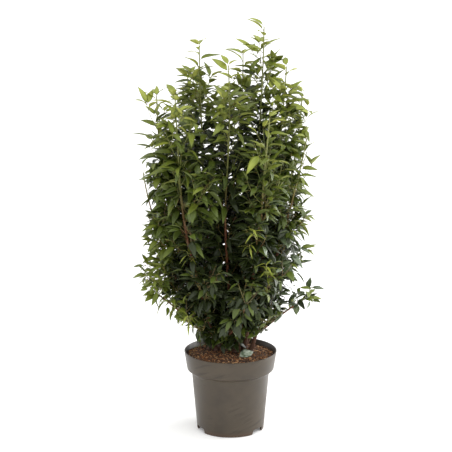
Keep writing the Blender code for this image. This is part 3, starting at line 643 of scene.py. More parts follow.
STEMS = {
    "tall_right": StemPlan((0.016, 0.046), (0.098, 0.045), 1.245, 1.7, 0.36),
    "tall_left": StemPlan((-0.040, 0.056), (-0.092, 0.050), 1.188, 1.8, 0.35),
    "front": StemPlan((-0.008, 0.018), (-0.007, -0.125), 1.150, 1.2, 0.36),
    "back": StemPlan((-0.004, 0.076), (0.037, 0.140), 1.152, 1.5, 0.34),
    "upper_right": StemPlan((0.040, 0.026), (0.163, -0.012), 1.135, 1.5, 0.30),
    "left": StemPlan((-0.064, 0.034), (-0.216, -0.020), 1.050, 1.9, 0.25),
    "front_left": StemPlan((-0.042, 0.022), (-0.160, -0.120), 1.065, 1.9, 0.26),
    "outer_right": StemPlan((0.044, 0.050), (0.214, 0.085), 1.045, 1.6, 0.24),
    "back_left": StemPlan((-0.030, 0.076), (-0.130, 0.176), 1.085, 1.7, 0.27),
    "front_right": StemPlan((0.016, 0.006), (0.110, -0.180), 1.010, 1.6, 0.25),
    "back_right": StemPlan((0.024, 0.070), (0.120, 0.195), 0.990, 1.6, 0.24),
    "right": StemPlan((0.062, 0.014), (0.226, -0.055), 0.930, 1.1, 0.22),
    "far_left": StemPlan((-0.062, 0.057), (-0.262, 0.030), 0.815, 1.5, 0.20),
}


@dataclass(frozen=True)
class BoughPlan:
    """One low bough: the stem and height that it leaves, where it bends and where it ends."""

    stem: str
    leaves: float
    bend: Spot
    tip: Spot


LOW_BOUGHS = {
    "low_right": BoughPlan("right", 0.285, (0.150, -0.046, 0.370), (0.196, -0.062, 0.405)),
    "low_left": BoughPlan("left", 0.290, (-0.150, -0.045, 0.380), (-0.205, -0.055, 0.425)),
    "low_front": BoughPlan("front", 0.280, (0.030, -0.135, 0.380), (0.040, -0.185, 0.425)),
    "low_back": BoughPlan("back", 0.290, (-0.020, 0.145, 0.380), (-0.035, 0.190, 0.425)),
}


@dataclass(frozen=True)
class TierPlan:
    """One ring of side sprays: its height, their number and turn, and how far each rises."""

    height: float
    sprays: int
    turn: float
    rise: float


TIERS = (
    TierPlan(0.385, 4, 45.0, 0.085),
    TierPlan(0.510, 6, 12.0, 0.120),
    TierPlan(0.650, 7, 38.0, 0.130),
    TierPlan(0.790, 6, 14.0, 0.130),
)


class Run:
    """A polyline that something grows along."""

    def __init__(self, points: Sequence[Vector]) -> None:
        """Keep the points."""
        self.points = [Vector(point) for point in points]

    @property
    def length(self) -> float:
        """The run's length."""
        return sum((b - a).length for a, b in zip(self.points, self.points[1:]))

    def at(self, distance: float) -> tuple[Vector, Vector]:
        """Find a place on the run.

        Args:
            distance: How far along the run.

        Returns:
            The point there and the heading.
        """
        for start, end in zip(self.points, self.points[1:]):
            step = (end - start).length
            if distance <= step:
                return start.lerp(end, distance / step), (end - start).normalized()
            distance -= step
        return self.points[-1].copy(), (self.points[-1] - self.points[-2]).normalized()

    def distance_to(self, point: Vector) -> float:
        """How far a point lies from the run."""
        nearest = math.inf
        for start, end in zip(self.points, self.points[1:]):
            place, share = intersect_point_line(point, start, end)
            place = start if share <= 0.0 else end if share >= 1.0 else place
            nearest = min(nearest, (point - place).length)
        return nearest

    @classmethod
    def rising(cls, start: Vector, heading: Vector, length: float, lift: float, joints: int) -> "Run":
        """Grow a run from a point.

        Args:
            start: Its first point.
            heading: The way that it leaves.
            length: Its length.
            lift: How much it turns up over that length.
            joints: Its number of straight stretches.

        Returns:
            The run.
        """
        points = [start]
        for _ in range(joints):
            heading = (heading + UP * (lift / joints)).normalized()
            points.append(points[-1] + heading * (length / joints))
        return cls(points)

    @classmethod
    def curved(cls, start: Vector, bend: Vector, tip: Vector, joints: int) -> "Run":
        """Grow a run from start to tip that bends towards a third point."""
        shares = [i / joints for i in range(joints + 1)]
        return cls([start * (1 - s) ** 2 + bend * (2 * s * (1 - s)) + tip * s**2 for s in shares])


@dataclass
class Crown:
    """The crown's outer surface round a centre, as heights and radii.

    The solids' outline is where the side sprays end. The leaves keep to a closer one, lobe by lobe.
    """

    centre: Span = (-0.012, 0.0)
    solid_outline: tuple[Span, ...] = (
        *((0.26, 0.09), (0.32, 0.17), (0.40, 0.275), (0.45, 0.285)),
        *((0.50, 0.278), (0.98, 0.278), (1.08, 0.250), (1.25, 0.170)),
    )
    leaf_outline: tuple[Span, ...] = (
        *((0.26, 0.055), (0.30, 0.100), (0.34, 0.165), (0.38, 0.205), (0.43, 0.285)),
        *((0.50, 0.275), (0.60, 0.264), (0.98, 0.264), (1.08, 0.240), (1.25, 0.170)),
    )
    bays: float = 0.110
    bay_scale: float = 17.0
    bay_share: float = 0.05

    @staticmethod
    def radius(outline: Sequence[Span], height: float) -> float:
        """An outline's radius at a height."""
        for (low, inner), (high, outer) in zip(outline, outline[1:]):
            if height <= high:
                return inner + (outer - inner) * max(0.0, (height - low) / (high - low))
        return outline[-1][1]

    def depth(self, point: Vector) -> float:
        """How far inside the outer surface a point lies, with bays of sky let into that surface."""
        plan = Vector((point.x - self.centre[0], point.y - self.centre[1]))
        bay = self.bays * max(0.0, noise.noise(point * self.bay_scale) + self.bay_share)
        return self.radius(self.leaf_outline, point.z) - bay - plan.length


@dataclass
class Stem:
    """One woody stem, from its flat foot on the compost to its leader's tip."""

    name: str
    plan: StemPlan
    foot_radius: float = 0.0062
    leader_radius: float = 0.0026
    tip_radius: float = 0.0014
    taper: float = 0.8
    flare: float = 0.55
    flare_height: float = 0.018
    sway: float = 0.008
    sway_bends: float = 2.4
    short_of_tip: float = 0.030
    straight_foot: tuple[float, ...] = (0.0, 0.004, 0.010)
    bends_from: float = 0.012
    rings: int = 110

    def __post_init__(self) -> None:
        """Work out the sway's phase, the stem's base, and the share of the leader that is wood."""
        self.phase = random.Random(f"sway {self.name}").uniform(0, 2 * math.pi)
        self.base = POT.compost_top + CLEARANCE
        self.woody = (self.plan.leader - self.short_of_tip) / self.plan.leader

    @property
    def leader_share(self) -> float:
        """The height share at which the leader's foliage begins."""
        return 1.0 - self.plan.leader / (self.plan.height - POT.compost_top)

    def share_of(self, height: float) -> float:
        """The share of the stem's height at a height."""
        return (height - self.base) / (self.plan.height - self.base)

    def place(self, share: float) -> Vector:
        """The stem's centre at a share of its height."""
        foot, tip = Vector(self.plan.foot), Vector(self.plan.tip)
        across = Vector((-(tip - foot).y, (tip - foot).x)).normalized()
        reach = 1.0 - (1.0 - share) ** self.plan.spread
        bends = math.sin(self.sway_bends * math.pi * share + self.phase)
        sway = self.sway * math.sin(math.pi * share) * bends
        plan = foot + (tip - foot) * reach + across * sway
        return Vector((plan.x, plan.y, self.base + (self.plan.height - self.base) * share))

    def place_at(self, height: float) -> Vector:
        """The stem's centre at a height, or its tip above that."""
        return self.place(min(1.0, self.share_of(height)))

    def radius(self, share: float) -> float:
        """The stem's radius at a share of its height, with its root flare."""
        end = self.leader_share
        if share > end:
            thin = (share - end) / (1.0 - end)
            return self.leader_radius + (self.tip_radius - self.leader_radius) * thin
        thick = 1.0 - (share / end) ** self.taper
        flare = 1.0 + self.flare * math.exp(-share / self.flare_height)
        return (self.leader_radius + (self.foot_radius - self.leader_radius) * thick) * flare

    def _stretch(self, first: float, span: float, joints: int) -> Run:
        """The stem's line from a share of its height, over a span of it."""
        return Run([self.place(first + span * step / joints) for step in range(joints + 1)])

    def leader_axis(self) -> Run:
        """The stretch that the leader's foliage grows from."""
        return self._stretch(self.leader_share, (1 - self.leader_share) * self.woody, 6)

    def bare_axis(self, lowest: float) -> Run:
        """The stretch below the leader, from a height up."""
        first = self.share_of(lowest)
        return self._stretch(first, self.leader_share - first, 8)

    def build(self, bark: Material) -> Object:
        """Make the stem. The lowest rings stand straight over its flat foot."""
        top = self.leader_share + (1 - self.leader_share) * self.woody
        climb = (top - self.bends_from) / self.rings
        shares = [*self.straight_foot, *(self.bends_from + climb * i for i in range(1, self.rings + 1))]
        points = [self.place(share) for share in shares]
        for point in points[1 : len(self.straight_foot)]:
            point.x, point.y = points[0].x, points[0].y
        radii = [self.radius(share) for share in shares]
        piece = RidgedTube().build(f"stem_{self.name}_bark", points, radii, bark)
        return finish_piece(piece, Slot.BARK, f"stem_{self.name}")


@dataclass
class RidgedTube:
    """A closed tube with the relief of young bark: shallow ridges, and a knuckle at each leaf node."""

    sides: int = 14
    node_spacing: float = 0.021
    ridge: float = 0.05
    ridges_round: float = 4.0
    ridges_up: float = 60.0
    knuckle: float = 0.16
    knuckle_behind: float = 0.35
    knuckle_spread: float = 0.010
    smooth_foot: float = 0.02

    def build(self, name: str, points: Sequence[Vector], radii: Sequence[float], skin: Material) -> Object:
        """Make the tube as an object.

        Args:
            name: The object's name.
            points: Its centre line.
            radii: Its radius at each point.
            skin: Its material.

        Returns:
            The object, whose mesh is closed.
        """
        verts = []
        travelled = 0.0
        side = RIGHT
        for index, (point, radius) in enumerate(zip(points, radii)):
            before, after = points[max(index - 1, 0)], points[min(index + 1, len(points) - 1)]
            heading = UP if index < 2 else (after - before).normalized()
            side = (side - heading * side.dot(heading)).normalized()
            other = heading.cross(side)
            travelled += (point - before).length
            for turn in (math.tau * i / self.sides for i in range(self.sides)):
                spoke = math.cos(turn) * side + math.sin(turn) * other
                verts.append(point + self._reach(radius, travelled, turn, point) * spoke)
        mesh = mesh_from(name, verts, self._faces(len(points)))
        mesh.materials.append(skin)
        return new_object(name, mesh)

    def _reach(self, radius: float, travelled: float, turn: float, point: Vector) -> float:
        """The tube's radius at one place, with its relief."""
        round_it = self.ridges_round * math.cos(turn), self.ridges_round * math.sin(turn)
        grain = noise.noise(Vector((*round_it, point.z * self.ridges_up)))
        nodes, beyond = divmod(travelled / self.node_spacing, 1.0)
        facing = max(0.0, math.cos(turn - GOLDEN_TURN * nodes))
        swell = self.knuckle_behind + (1.0 - self.knuckle_behind) * facing
        lump = self.knuckle * math.exp(-((beyond - 0.5) ** 2) / self.knuckle_spread) * swell
        return radius * (1.0 + self.ridge * grain + lump * min(1.0, travelled / self.smooth_foot))

    def _faces(self, rings: int) -> list[Corners]:
        """The faces that join the rings, and the two end caps."""
        faces = [face for ring in range(rings - 1) for face in band(ring * self.sides, self.sides)]
        last = (rings - 1) * self.sides
        return [*faces, tuple(range(self.sides))[::-1], tuple(range(last, last + self.sides))]


def band(at: int, count: int) -> list[Corners]:
    """The faces between two rings of so many points, where the first ring starts at a number."""
    after = [(i, (i + 1) % count) for i in range(count)]
    return [(at + i, at + j, at + count + j, at + count + i) for i, j in after]


# ---- The masses of foliage ----


@dataclass
class Mass:
    """One mass of foliage: its name, its axis and what has grown on it."""

    name: str
    axis: Run
    kind: Kind
    ceiling: float
    butt_radius: float = 0.0028
    twigs: list[tuple[Run, float]] = field(default_factory=list)

    def __post_init__(self) -> None:
        """Seed the mass's own random numbers."""
        self.rng = random.Random(f"scene {SEED} {self.name}")


@dataclass
class Limbs:
    """The plant's stems and low boughs as solids, for tests of what touches them."""

    nodes: dict[str, Object]
    boughs: bool = True
    swell: float = 0.0015
    seat_tests: int = 12

    def __post_init__(self) -> None:
        """Make the trees of faces: as built, and swollen by a margin."""
        starts = ("stem_", "bough_") if self.boughs else ("stem_",)
        limbs = [self.nodes[name] for start in starts for name in self.nodes if name.startswith(start)]
        self.tree = self._tree(limbs, 0.0)
        self.guard = self._tree(limbs, self.swell)

    @staticmethod
    def _tree(limbs: Sequence[Object], swell: float) -> BVHTree:
        """A tree of all the limbs' faces, each limb swollen by a margin."""
        verts, faces = [], []
        for limb in limbs:
            shape = bmesh.new()
            shape.from_mesh(limb.data)
            bmesh.ops.remove_doubles(shape, verts=shape.verts, dist=1e-5)
            shape.normal_update()
            shape.verts.index_update()
            at = len(verts)
            verts += [limb.matrix_world @ vert.co + vert.normal * swell for vert in shape.verts]
            faces += [tuple(at + vert.index for vert in face.verts) for face in shape.faces]
            shape.free()
        return BVHTree.FromPolygons(verts, faces)

    def seat(self, axis_point: Vector, heading: Vector, radius: float) -> Vector:
        """Find where a butt end stands a hair clear of its limb.

        Args:
            axis_point: A point on the limb's centre line.
            heading: The way that the spray leaves.
            radius: The butt's radius.

        Returns:
            The butt's centre.
        """
        travel = STEP_OFF + radius
        for _ in range(self.seat_tests):
            gaps = []
            for corner in ring_points(axis_point + heading * travel, heading, radius, self.seat_tests):
                near, normal, _, distance = self.tree.find_nearest(corner)
                gaps.append(math.copysign(distance, (corner - near).dot(normal)))
            travel += SEAT_GAP - min(gaps)
        return axis_point + heading * travel

    def touches(self, verts: Sequence[Vector], faces: Sequence[Sequence[int]]) -> bool:
        """True where a small mesh touches a limb's swollen surface."""
        return bool(BVHTree.FromPolygons(verts, faces).overlap(self.guard))


def ring_points(centre: Vector, heading: Vector, radius: float, count: int) -> list[Vector]:
    """Points evenly round a centre, square to a heading."""
    side = heading.orthogonal().normalized()
    other = heading.cross(side)
    turns = [math.tau * i / count for i in range(count)]
    return [centre + radius * (math.cos(t) * side + math.sin(t) * other) for t in turns]


def thin_tube(run: Run, radius: float) -> tuple[list[Vector], list[Corners]]:
    """The vertices and faces of a three-sided tube along a run, for tests of what it touches."""
    verts, faces = [], []
    for start, end in zip(run.points, run.points[1:]):
        at = len(verts)
        heading = (end - start).normalized()
        for centre in (start, end):
            verts += ring_points(centre, heading, radius, 3)
        faces += band(at, 3)
    return verts, faces


@dataclass
class Framework:
    """The plan of stems, low boughs and masses, worked out by the rule that made the solids."""

    crown: Crown
    nodes: dict[str, Object]
    low_bough_radius: float = 0.0036
    low_bough_tip_radius: float = 0.0022
    low_spray_length: float = 0.045
    low_ceiling: float = 0.56
    bough_radius: float = 0.0028
    low_spray_sag: float = -0.15
    lowest_side_share: float = 0.03
    side_below_leader: float = 0.04
    least_reach: float = 0.035
    short_of_outline: float = 0.070
    short_of_tip: float = 0.060
    spray_sag: float = 0.12
    least_axis_gap: float = 0.022
    butt_share: float = 0.4
    axis_tests: int = 8
    lowest_shoot: float = 0.262
    leafy_feet: tuple[str, ...] = (
        *("front_right", "front_left", "upper_right", "tall_left", "tall_right"),
        *("left", "back", "back_left", "back_right"),
    )
    foot_span: Span = (0.268, 0.325)
    bough_rings: int = 40

    def __post_init__(self) -> None:
        """Lay out the stems, then the low boughs, then the masses."""
        self.stems = {name: Stem(name, plan) for name, plan in STEMS.items()}
        stem_limbs = Limbs(self.nodes, boughs=False)
        self.low_boughs = {name: self._low_bough(plan, stem_limbs) for name, plan in LOW_BOUGHS.items()}
        self.limbs = Limbs(self.nodes)
        self.masses = [*self._leaders(), *self._low_masses()]
        # Each side mass keeps clear of those before it, so they join the list one at a time.
        for mass in self._side_masses():
            self.masses.append(mass)
        self.short_shoots = list(self._short_shoots())

    def _low_bough(self, plan: BoughPlan, limbs: Limbs) -> Run:
        """The centre line of one low bough, from a hair clear of its stem."""
        stem = self.stems[plan.stem]
        share = (plan.leaves - POT.compost_top) / (stem.plan.height - POT.compost_top)
        root, bend, tip = stem.place(share), Vector(plan.bend), Vector(plan.tip)
        heading = (bend - root).normalized()
        start = limbs.seat(root, heading, self.low_bough_radius)
        run = Run.curved(start, bend, tip, 5)
        run.points.insert(1, start + heading * STEP_OFF)
        return run

    def _leaders(self) -> Iterator[Mass]:
        """A mass for each stem's leader."""
        for name, stem in self.stems.items():
            yield Mass(f"leader_foliage_{name}", stem.leader_axis(), Kind.LEADER, stem.plan.height)

    def _low_masses(self) -> Iterator[Mass]:
        """A mass for each low bough, carrying its line on."""
        for name, run in self.low_boughs.items():
            heading = (run.points[-1] - run.points[-2]).normalized()
            start = run.points[-1] + heading * CLEARANCE * 1.4
            axis = Run.rising(start, heading, self.low_spray_length, self.low_spray_sag, 3)
            yield Mass(f"{name}_foliage", axis, Kind.LOW, self.low_ceiling, self.low_bough_tip_radius)

    def _short_shoots(self) -> Iterator[Mass]:
        """The short leafy shoots that each stem bears below its leader, between the masses."""
        for name, stem in self.stems.items():
            axis = stem.bare_axis(self.lowest_shoot)
            yield Mass(f"short_shoots_{name}", axis, Kind.INNER, stem.plan.height)
        for name, run in self.low_boughs.items():
            yield Mass(f"hanging_shoots_{name}", Run(run.points[3:]), Kind.HANGING, self.low_ceiling)
        for name in self.leafy_feet:
            stem = self.stems[name]
            axis = Run([stem.place(stem.share_of(height)) for height in self.foot_span])
            yield Mass(f"foot_shoots_{name}", axis, Kind.HANGING, self.low_ceiling)

    def _side_masses(self) -> Iterator[Mass]:
        """The side sprays, tier by tier, each from the nearest stem that leaves a clear way."""
        centre = Vector((*self.crown.centre, 0.0))
        for level, tier in enumerate(TIERS, 1):
            for index in range(tier.sprays):
                angle = math.radians(tier.turn + index * 360 / tier.sprays)
                reach = self.crown.radius(self.crown.solid_outline, tier.height) - self.short_of_outline
                tip = centre + Vector((reach * math.cos(angle), reach * math.sin(angle), tier.height))
                axis = self._clear_axis(tip, tier.rise)
                if axis is not None:
                    name = f"side_foliage_{level}_{index + 1}"
                    yield Mass(name, axis, Kind.SIDE, tip.z + self.short_of_tip)

    def _clear_axis(self, tip: Vector, rise: float) -> Run | None:
        """The line of a side spray, from whichever stem gives the shortest clear run to its tip."""
        runs = []
        for stem in self.stems.values():
            share = (tip.z - rise - POT.compost_top) / (stem.plan.height - POT.compost_top)
            if not self.lowest_side_share < share < stem.leader_share - self.side_below_leader:
                continue
            root = stem.place(share)
            outward = Vector((tip.x - root.x, tip.y - root.y, 0.0))
            if outward.length >= self.least_reach:
                runs.append((outward.length, root))
        for _, root in sorted(runs, key=lambda run: run[0]):
            chord = tip - root
            bend = root + chord * 0.5 - UP * (self.spray_sag * chord.length)
            start = self.limbs.seat(root, (bend - root).normalized(), self.bough_radius)
            axis = Run.curved(start, bend, tip, 3)
            if self._is_clear(axis):
                return Run.curved(start, bend, tip, 6)
        return None

    def _is_clear(self, axis: Run) -> bool:
        """True where a spray's line touches no limb and runs near no other mass's axis."""
        points = axis.points
        # Its butt is near the stem that it leaves, so the wider test starts a little way along.
        beyond = Run([points[0].lerp(points[1], self.butt_share), *points[1:]])
        whole = BVHTree.FromPolygons(*thin_tube(axis, self.bough_radius))
        if whole.overlap(self.limbs.tree) or self.limbs.touches(*thin_tube(beyond, self.bough_radius)):
            return False
        steps = range(1, self.axis_tests + 1)
        places = [points[0].lerp(points[-1], step / self.axis_tests) for step in steps]
        return all(
            other.axis.distance_to(place) >= self.least_axis_gap for other in self.masses for place in places
        )

    def build_limbs(self, bark: Material) -> None:
        """Make the barked stems and low boughs."""
        for stem in self.stems.values():
            stem.build(bark)
        steps = self.bough_rings
        slim = self.low_bough_tip_radius - self.low_bough_radius
        for name, run in self.low_boughs.items():
            points = [run.at(run.length * i / steps)[0] for i in range(steps + 1)]
            radii = [self.low_bough_radius + slim * i / steps for i in range(steps + 1)]
            piece = RidgedTube(12).build(f"{name}_bark", points, radii, bark)
            finish_piece(piece, Slot.BARK, f"bough_{name}")


# ---- Leaves ----


@dataclass(frozen=True)
class LeafForm:
    """One leaf blade on its stalk, a unit long, from its root at the origin to its tip on +X."""

    width: float
    curl: float
    fold: float
    twist: float
    wave: float
    stalk: float = 0.13
    stalk_radius: float = 0.011
    stalk_joints: tuple[float, ...] = (0.0, 0.6, 1.5)
    thickness: float = 0.010
    stations: int = 6
    tooth: float = 0.015
    shortening: float = 0.4
    belly: float = 0.86
    fullness: float = 0.78
    drawn_out: float = 0.40
    ripples: float = 5.0

    def centre(self, share: float) -> Vector:
        """The midrib's point at a share of the leaf's length: it curls over towards its tip."""
        return Vector((share * (1.0 - self.shortening * self.curl**2), 0.0, -self.curl * share**2))

    def half_width(self, along: float) -> float:
        """Half the width at a share of the blade: widest before the middle, drawn out at the tip."""
        oval = math.sin(math.pi * along**self.belly) ** self.fullness
        return 0.5 * self.width * oval * (1.0 - self.drawn_out * along**3)

    def build(self, name: str) -> Object:
        """Make the closed leaf, with the kind of surface kept on each face."""
        verts: list[Vector] = [self.centre(self.stalk)]
        faces: list[Corners] = []
        kinds: list[Face] = []
        rows = [self._row(verts, station) for station in range(1, self.stations + 1)]
        tip = len(verts)
        verts.append(self.centre(1.0))
        for upper, strip in ((Face.UPPER, (0, 1, 2, 3, 4)), (Face.UNDER, (0, 5, 6, 7, 4))):
            for left, right in zip(strip, strip[1:]):
                faces.append((0, rows[0][left], rows[0][right]))
                faces += [(a[left], b[left], b[right], a[right]) for a, b in zip(rows, rows[1:])]
                faces.append((rows[-1][left], tip, rows[-1][right]))
            kinds += [upper] * (len(faces) - len(kinds))
        self._stalk(verts, faces)
        kinds += [Face.STALK] * (len(faces) - len(kinds))
        mesh = mesh_from(name, verts, faces)
        marks = mesh.attributes.new("surface", "INT", "FACE")
        marks.data.foreach_set("value", [kind.value for kind in kinds])
        return bpy.data.objects.new(name, mesh)

    def _row(self, verts: list[Vector], station: int) -> list[int]:
        """Add the eight points of one cross-section: five over the top and three below."""
        along = station / (self.stations + 1)
        centre = self.centre(self.stalk + (1 - self.stalk) * along)
        half = self.half_width(along) * (1.0 + self.tooth * (-1) ** station)
        turn = Matrix.Rotation(self.twist * along, 3, "X")
        ripple = self.wave * math.sin(self.ripples * math.pi * along)
        at = len(verts)
        for depth, places in ((0.0, (-1.0, -0.5, 0.0, 0.5, 1.0)), (self.thickness, (-0.5, 0.0, 0.5))):
            for across in places:
                lift = half * (self.fold * abs(across) + ripple * across * abs(across))
                verts.append(centre + turn @ Vector((0.0, half * across, lift - depth)))
        return list(range(at, len(verts)))

    def _stalk(self, verts: list[Vector], faces: list[Corners]) -> None:
        """Add the three-sided stalk, which runs on a little way under the midrib."""
        at = len(verts)
        for joint in self.stalk_joints:
            centre = self.centre(self.stalk * joint) - Vector((0.0, 0.0, self.thickness * 0.5))
            verts += ring_points(centre, RIGHT, self.stalk_radius, 3)
        faces += [*band(at, 3), *band(at + 3, 3), (at + 2, at + 1, at), (at + 6, at + 7, at + 8)]


# Width, curl, fold, twist and wave of four long, arching leaves of upright shoots, of four broad ones
# from lower down, and of a young narrow one.
LEAF_SHAPES = (
    (0.33, 0.52, 0.30, 0.10, 0.04),
    (0.36, 0.66, 0.22, -0.20, 0.06),
    (0.32, 0.78, 0.34, 0.18, 0.05),
    (0.35, 0.42, 0.26, -0.12, 0.07),
    (0.40, 0.30, 0.16, 0.15, 0.06),
    (0.43, 0.45, 0.20, -0.25, 0.08),
    (0.38, 0.58, 0.28, 0.30, 0.06),
    (0.41, 0.38, 0.12, -0.30, 0.09),
    (0.17, 0.85, 0.30, 0.20, 0.04),
)
LEAF_FORMS = [LeafForm(*shape) for shape in LEAF_SHAPES]
HALF_THE_FORMS = 4
NARROW_FORM = 8
OLD_LEAF_FORM = LeafForm(width=0.50, curl=0.18, fold=0.30, twist=0.25, wave=0.08, stations=15, tooth=0.02)


@dataclass(frozen=True)
class LeafSpot:
    """Where one leaf grows: its root, turn, size, form and age."""

    root: Vector
    turn: Matrix
    size: float
    form: int
    age: Age


@dataclass
class LeafScatter:
    """Sets leaves on points with Geometry Nodes, and makes plain meshes of them."""

    most_leaves: int = 1000

    def __post_init__(self) -> None:
        """Make the leaf forms, unlinked from the scene, and the node tree."""
        self.forms = bpy.data.collections.new("leaf_forms")
        for index, form in enumerate(LEAF_FORMS):
            self.forms.objects.link(form.build(f"leaf_form_{index}"))
        self.tree = self._make_tree()

    def _make_tree(self) -> NodeTree:
        """Build the tree: a leaf on each point, realised, with a material for each surface."""
        inputs = {"Leaf Forms": "Collection", **{face.label: "Material" for face in Face}}
        tree, given = new_geometry_tree("set_leaves", inputs)
        read: dict[str, Socket] = {}
        for name, kind in {"form": "INT", "turn": "FLOAT_VECTOR", "size": "FLOAT", "surface": "INT"}.items():
            wanted = {"data_type": kind}
            node = add_node(tree, "GeometryNodeInputNamedAttribute", {"Name": name}, settings=wanted)
            read[name] = (node, "Attribute")
        turns = add_node(tree, "FunctionNodeEulerToRotation", links={"Euler": read["turn"]})
        at = {"Points": (given, "Geometry"), "Instance Index": read["form"]}
        at |= {"Rotation": (turns, "Rotation"), "Scale": read["size"]}
        last = set_forms(tree, given, "Leaf Forms", at)
        equal = {"data_type": "INT", "operation": "EQUAL"}
        for face in Face:
            chosen = add_node(tree, "FunctionNodeCompare", {3: face.value}, {2: read["surface"]}, equal)
            wear = {"Geometry": last, "Selection": (chosen, "Result"), "Material": (given, face.label)}
            last = (add_node(tree, "GeometryNodeSetMaterial", links=wear), "Geometry")
        add_node(tree, "NodeGroupOutput", links={"Geometry": last})
        return tree

    def build(self, name: str, spots: Sequence[LeafSpot], skins: Skins) -> list[Object]:
        """Make the leaves of one age, in as many pieces as their number needs.

        Args:
            name: The pieces' name, before a number.
            spots: Where the leaves grow.
            skins: The material of each kind of surface.

        Returns:
            The plain mesh objects.
        """
        count = max(1, math.ceil(len(spots) / self.most_leaves))
        return [self._build_one(f"{name}_{i + 1}", spots[i::count], skins) for i in range(count)]

    def _build_one(self, name: str, spots: Sequence[LeafSpot], skins: Skins) -> Object:
        """Make one piece: points with attributes, the tree on them, then a plain mesh."""
        mesh = bpy.data.meshes.new(name)
        mesh.from_pydata([tuple(spot.root) for spot in spots], [], [])
        layers = {
            "turn": ("FLOAT_VECTOR", "vector", [angle for spot in spots for angle in spot.turn.to_euler()]),
            "size": ("FLOAT", "value", [spot.size for spot in spots]),
            "form": ("INT", "value", [spot.form for spot in spots]),
        }
        for layer, (kind, key, numbers) in layers.items():
            mesh.attributes.new(layer, kind, "POINT").data.foreach_set(key, numbers)
        obj = new_object(name, mesh)
        finishes = {face.label: skins[face] for face in Face}
        put_tree_on(obj, self.tree, {"Leaf Forms": self.forms, **finishes})
        return baked(obj, name)


# ---- Foliage ----


@dataclass(frozen=True)
class Habit:
    """How one kind of mass grows, a side spray unless told otherwise.

    Lengths are metres, openings are degrees, a droop is in radians, and spans are shares of the axis.
    """

    twig_spacing: float = 0.020
    twig_length: float = 0.078
    twig_span: Span = (0.16, 0.92)
    twig_opening: Span = (40.0, 58.0)
    twig_lift: float = 1.2
    bare_axis: float = 0.14
    axis_spacing: float = 0.0130
    leaf_spacing: float = 0.0125
    leaf_length: float = 0.060
    opening: float = 66.0
    roll: float = 0.60
    droop: Span = (-0.15, 0.40)
    thinning: float = 0.46


HABITS = {
    Kind.SIDE: Habit(),
    Kind.LEADER: Habit(
        twig_spacing=0.024, twig_length=0.085, twig_span=(0.0, 0.58), twig_opening=(34.0, 48.0),
        twig_lift=1.0, bare_axis=0.02, axis_spacing=0.0170, leaf_spacing=0.0165, leaf_length=0.066,
        opening=64.0, roll=0.75, droop=(-0.25, 0.10),
    ),
    Kind.LOW: Habit(
        twig_spacing=0.011, twig_length=0.066, twig_span=(0.05, 0.90), twig_lift=0.2, bare_axis=0.05,
        leaf_length=0.058, opening=62.0, roll=0.70, droop=(0.25, 0.95), thinning=0.15,
    ),
    Kind.HANGING: Habit(
        twig_spacing=0.034, twig_length=0.050, twig_span=(0.0, 1.0), twig_opening=(50.0, 80.0),
        twig_lift=-0.5, bare_axis=0.0, axis_spacing=0.020, leaf_spacing=0.0150, leaf_length=0.064,
        opening=64.0, roll=0.80, droop=(0.40, 1.20), thinning=0.15,
    ),
    Kind.INNER: Habit(
        twig_spacing=0.018, twig_length=0.082, twig_span=(0.0, 1.0), twig_lift=1.0, axis_spacing=0.0,
        leaf_length=0.066, droop=(-0.10, 0.50),
    ),
}


@dataclass(frozen=True)
class BareStem:
    """A stretch of stem, between two heights, that no leaf hides from the front."""

    name: str
    low: float
    high: float
    clear: float = 0.004

    def hidden_by(self, midrib: Sequence[Vector], stem: Stem) -> bool:
        """Find whether a leaf would cross the stretch as the camera sees it.

        Args:
            midrib: Points along the leaf.
            stem: The stem.

        Returns:
            True where it would.
        """
        offsets = []
        for point in midrib:
            depth = stem.place_at(point.z).y
            if self.low < point.z < self.high and point.y < depth - self.clear:
                seen = VIEWPOINT.lerp(point, (depth - VIEWPOINT.y) / (point.y - VIEWPOINT.y))
                offsets.append(seen.x - stem.place_at(seen.z).x)
        return bool(offsets) and min(offsets) < self.clear and max(offsets) > -self.clear


@dataclass(frozen=True)
class Region:
    """A part of the crown, by its sides, its heights and the depth inside its surface."""

    left: float = -math.inf
    right: float = math.inf
    low: float = 0.0
    high: float = math.inf
    depth: float = math.inf

    def holds(self, root: Vector, outside: float) -> bool:
        """True where a leaf with that root and tip depth is in the region."""
        return self.left < root.x < self.right and self.low < root.z < self.high and outside < self.depth


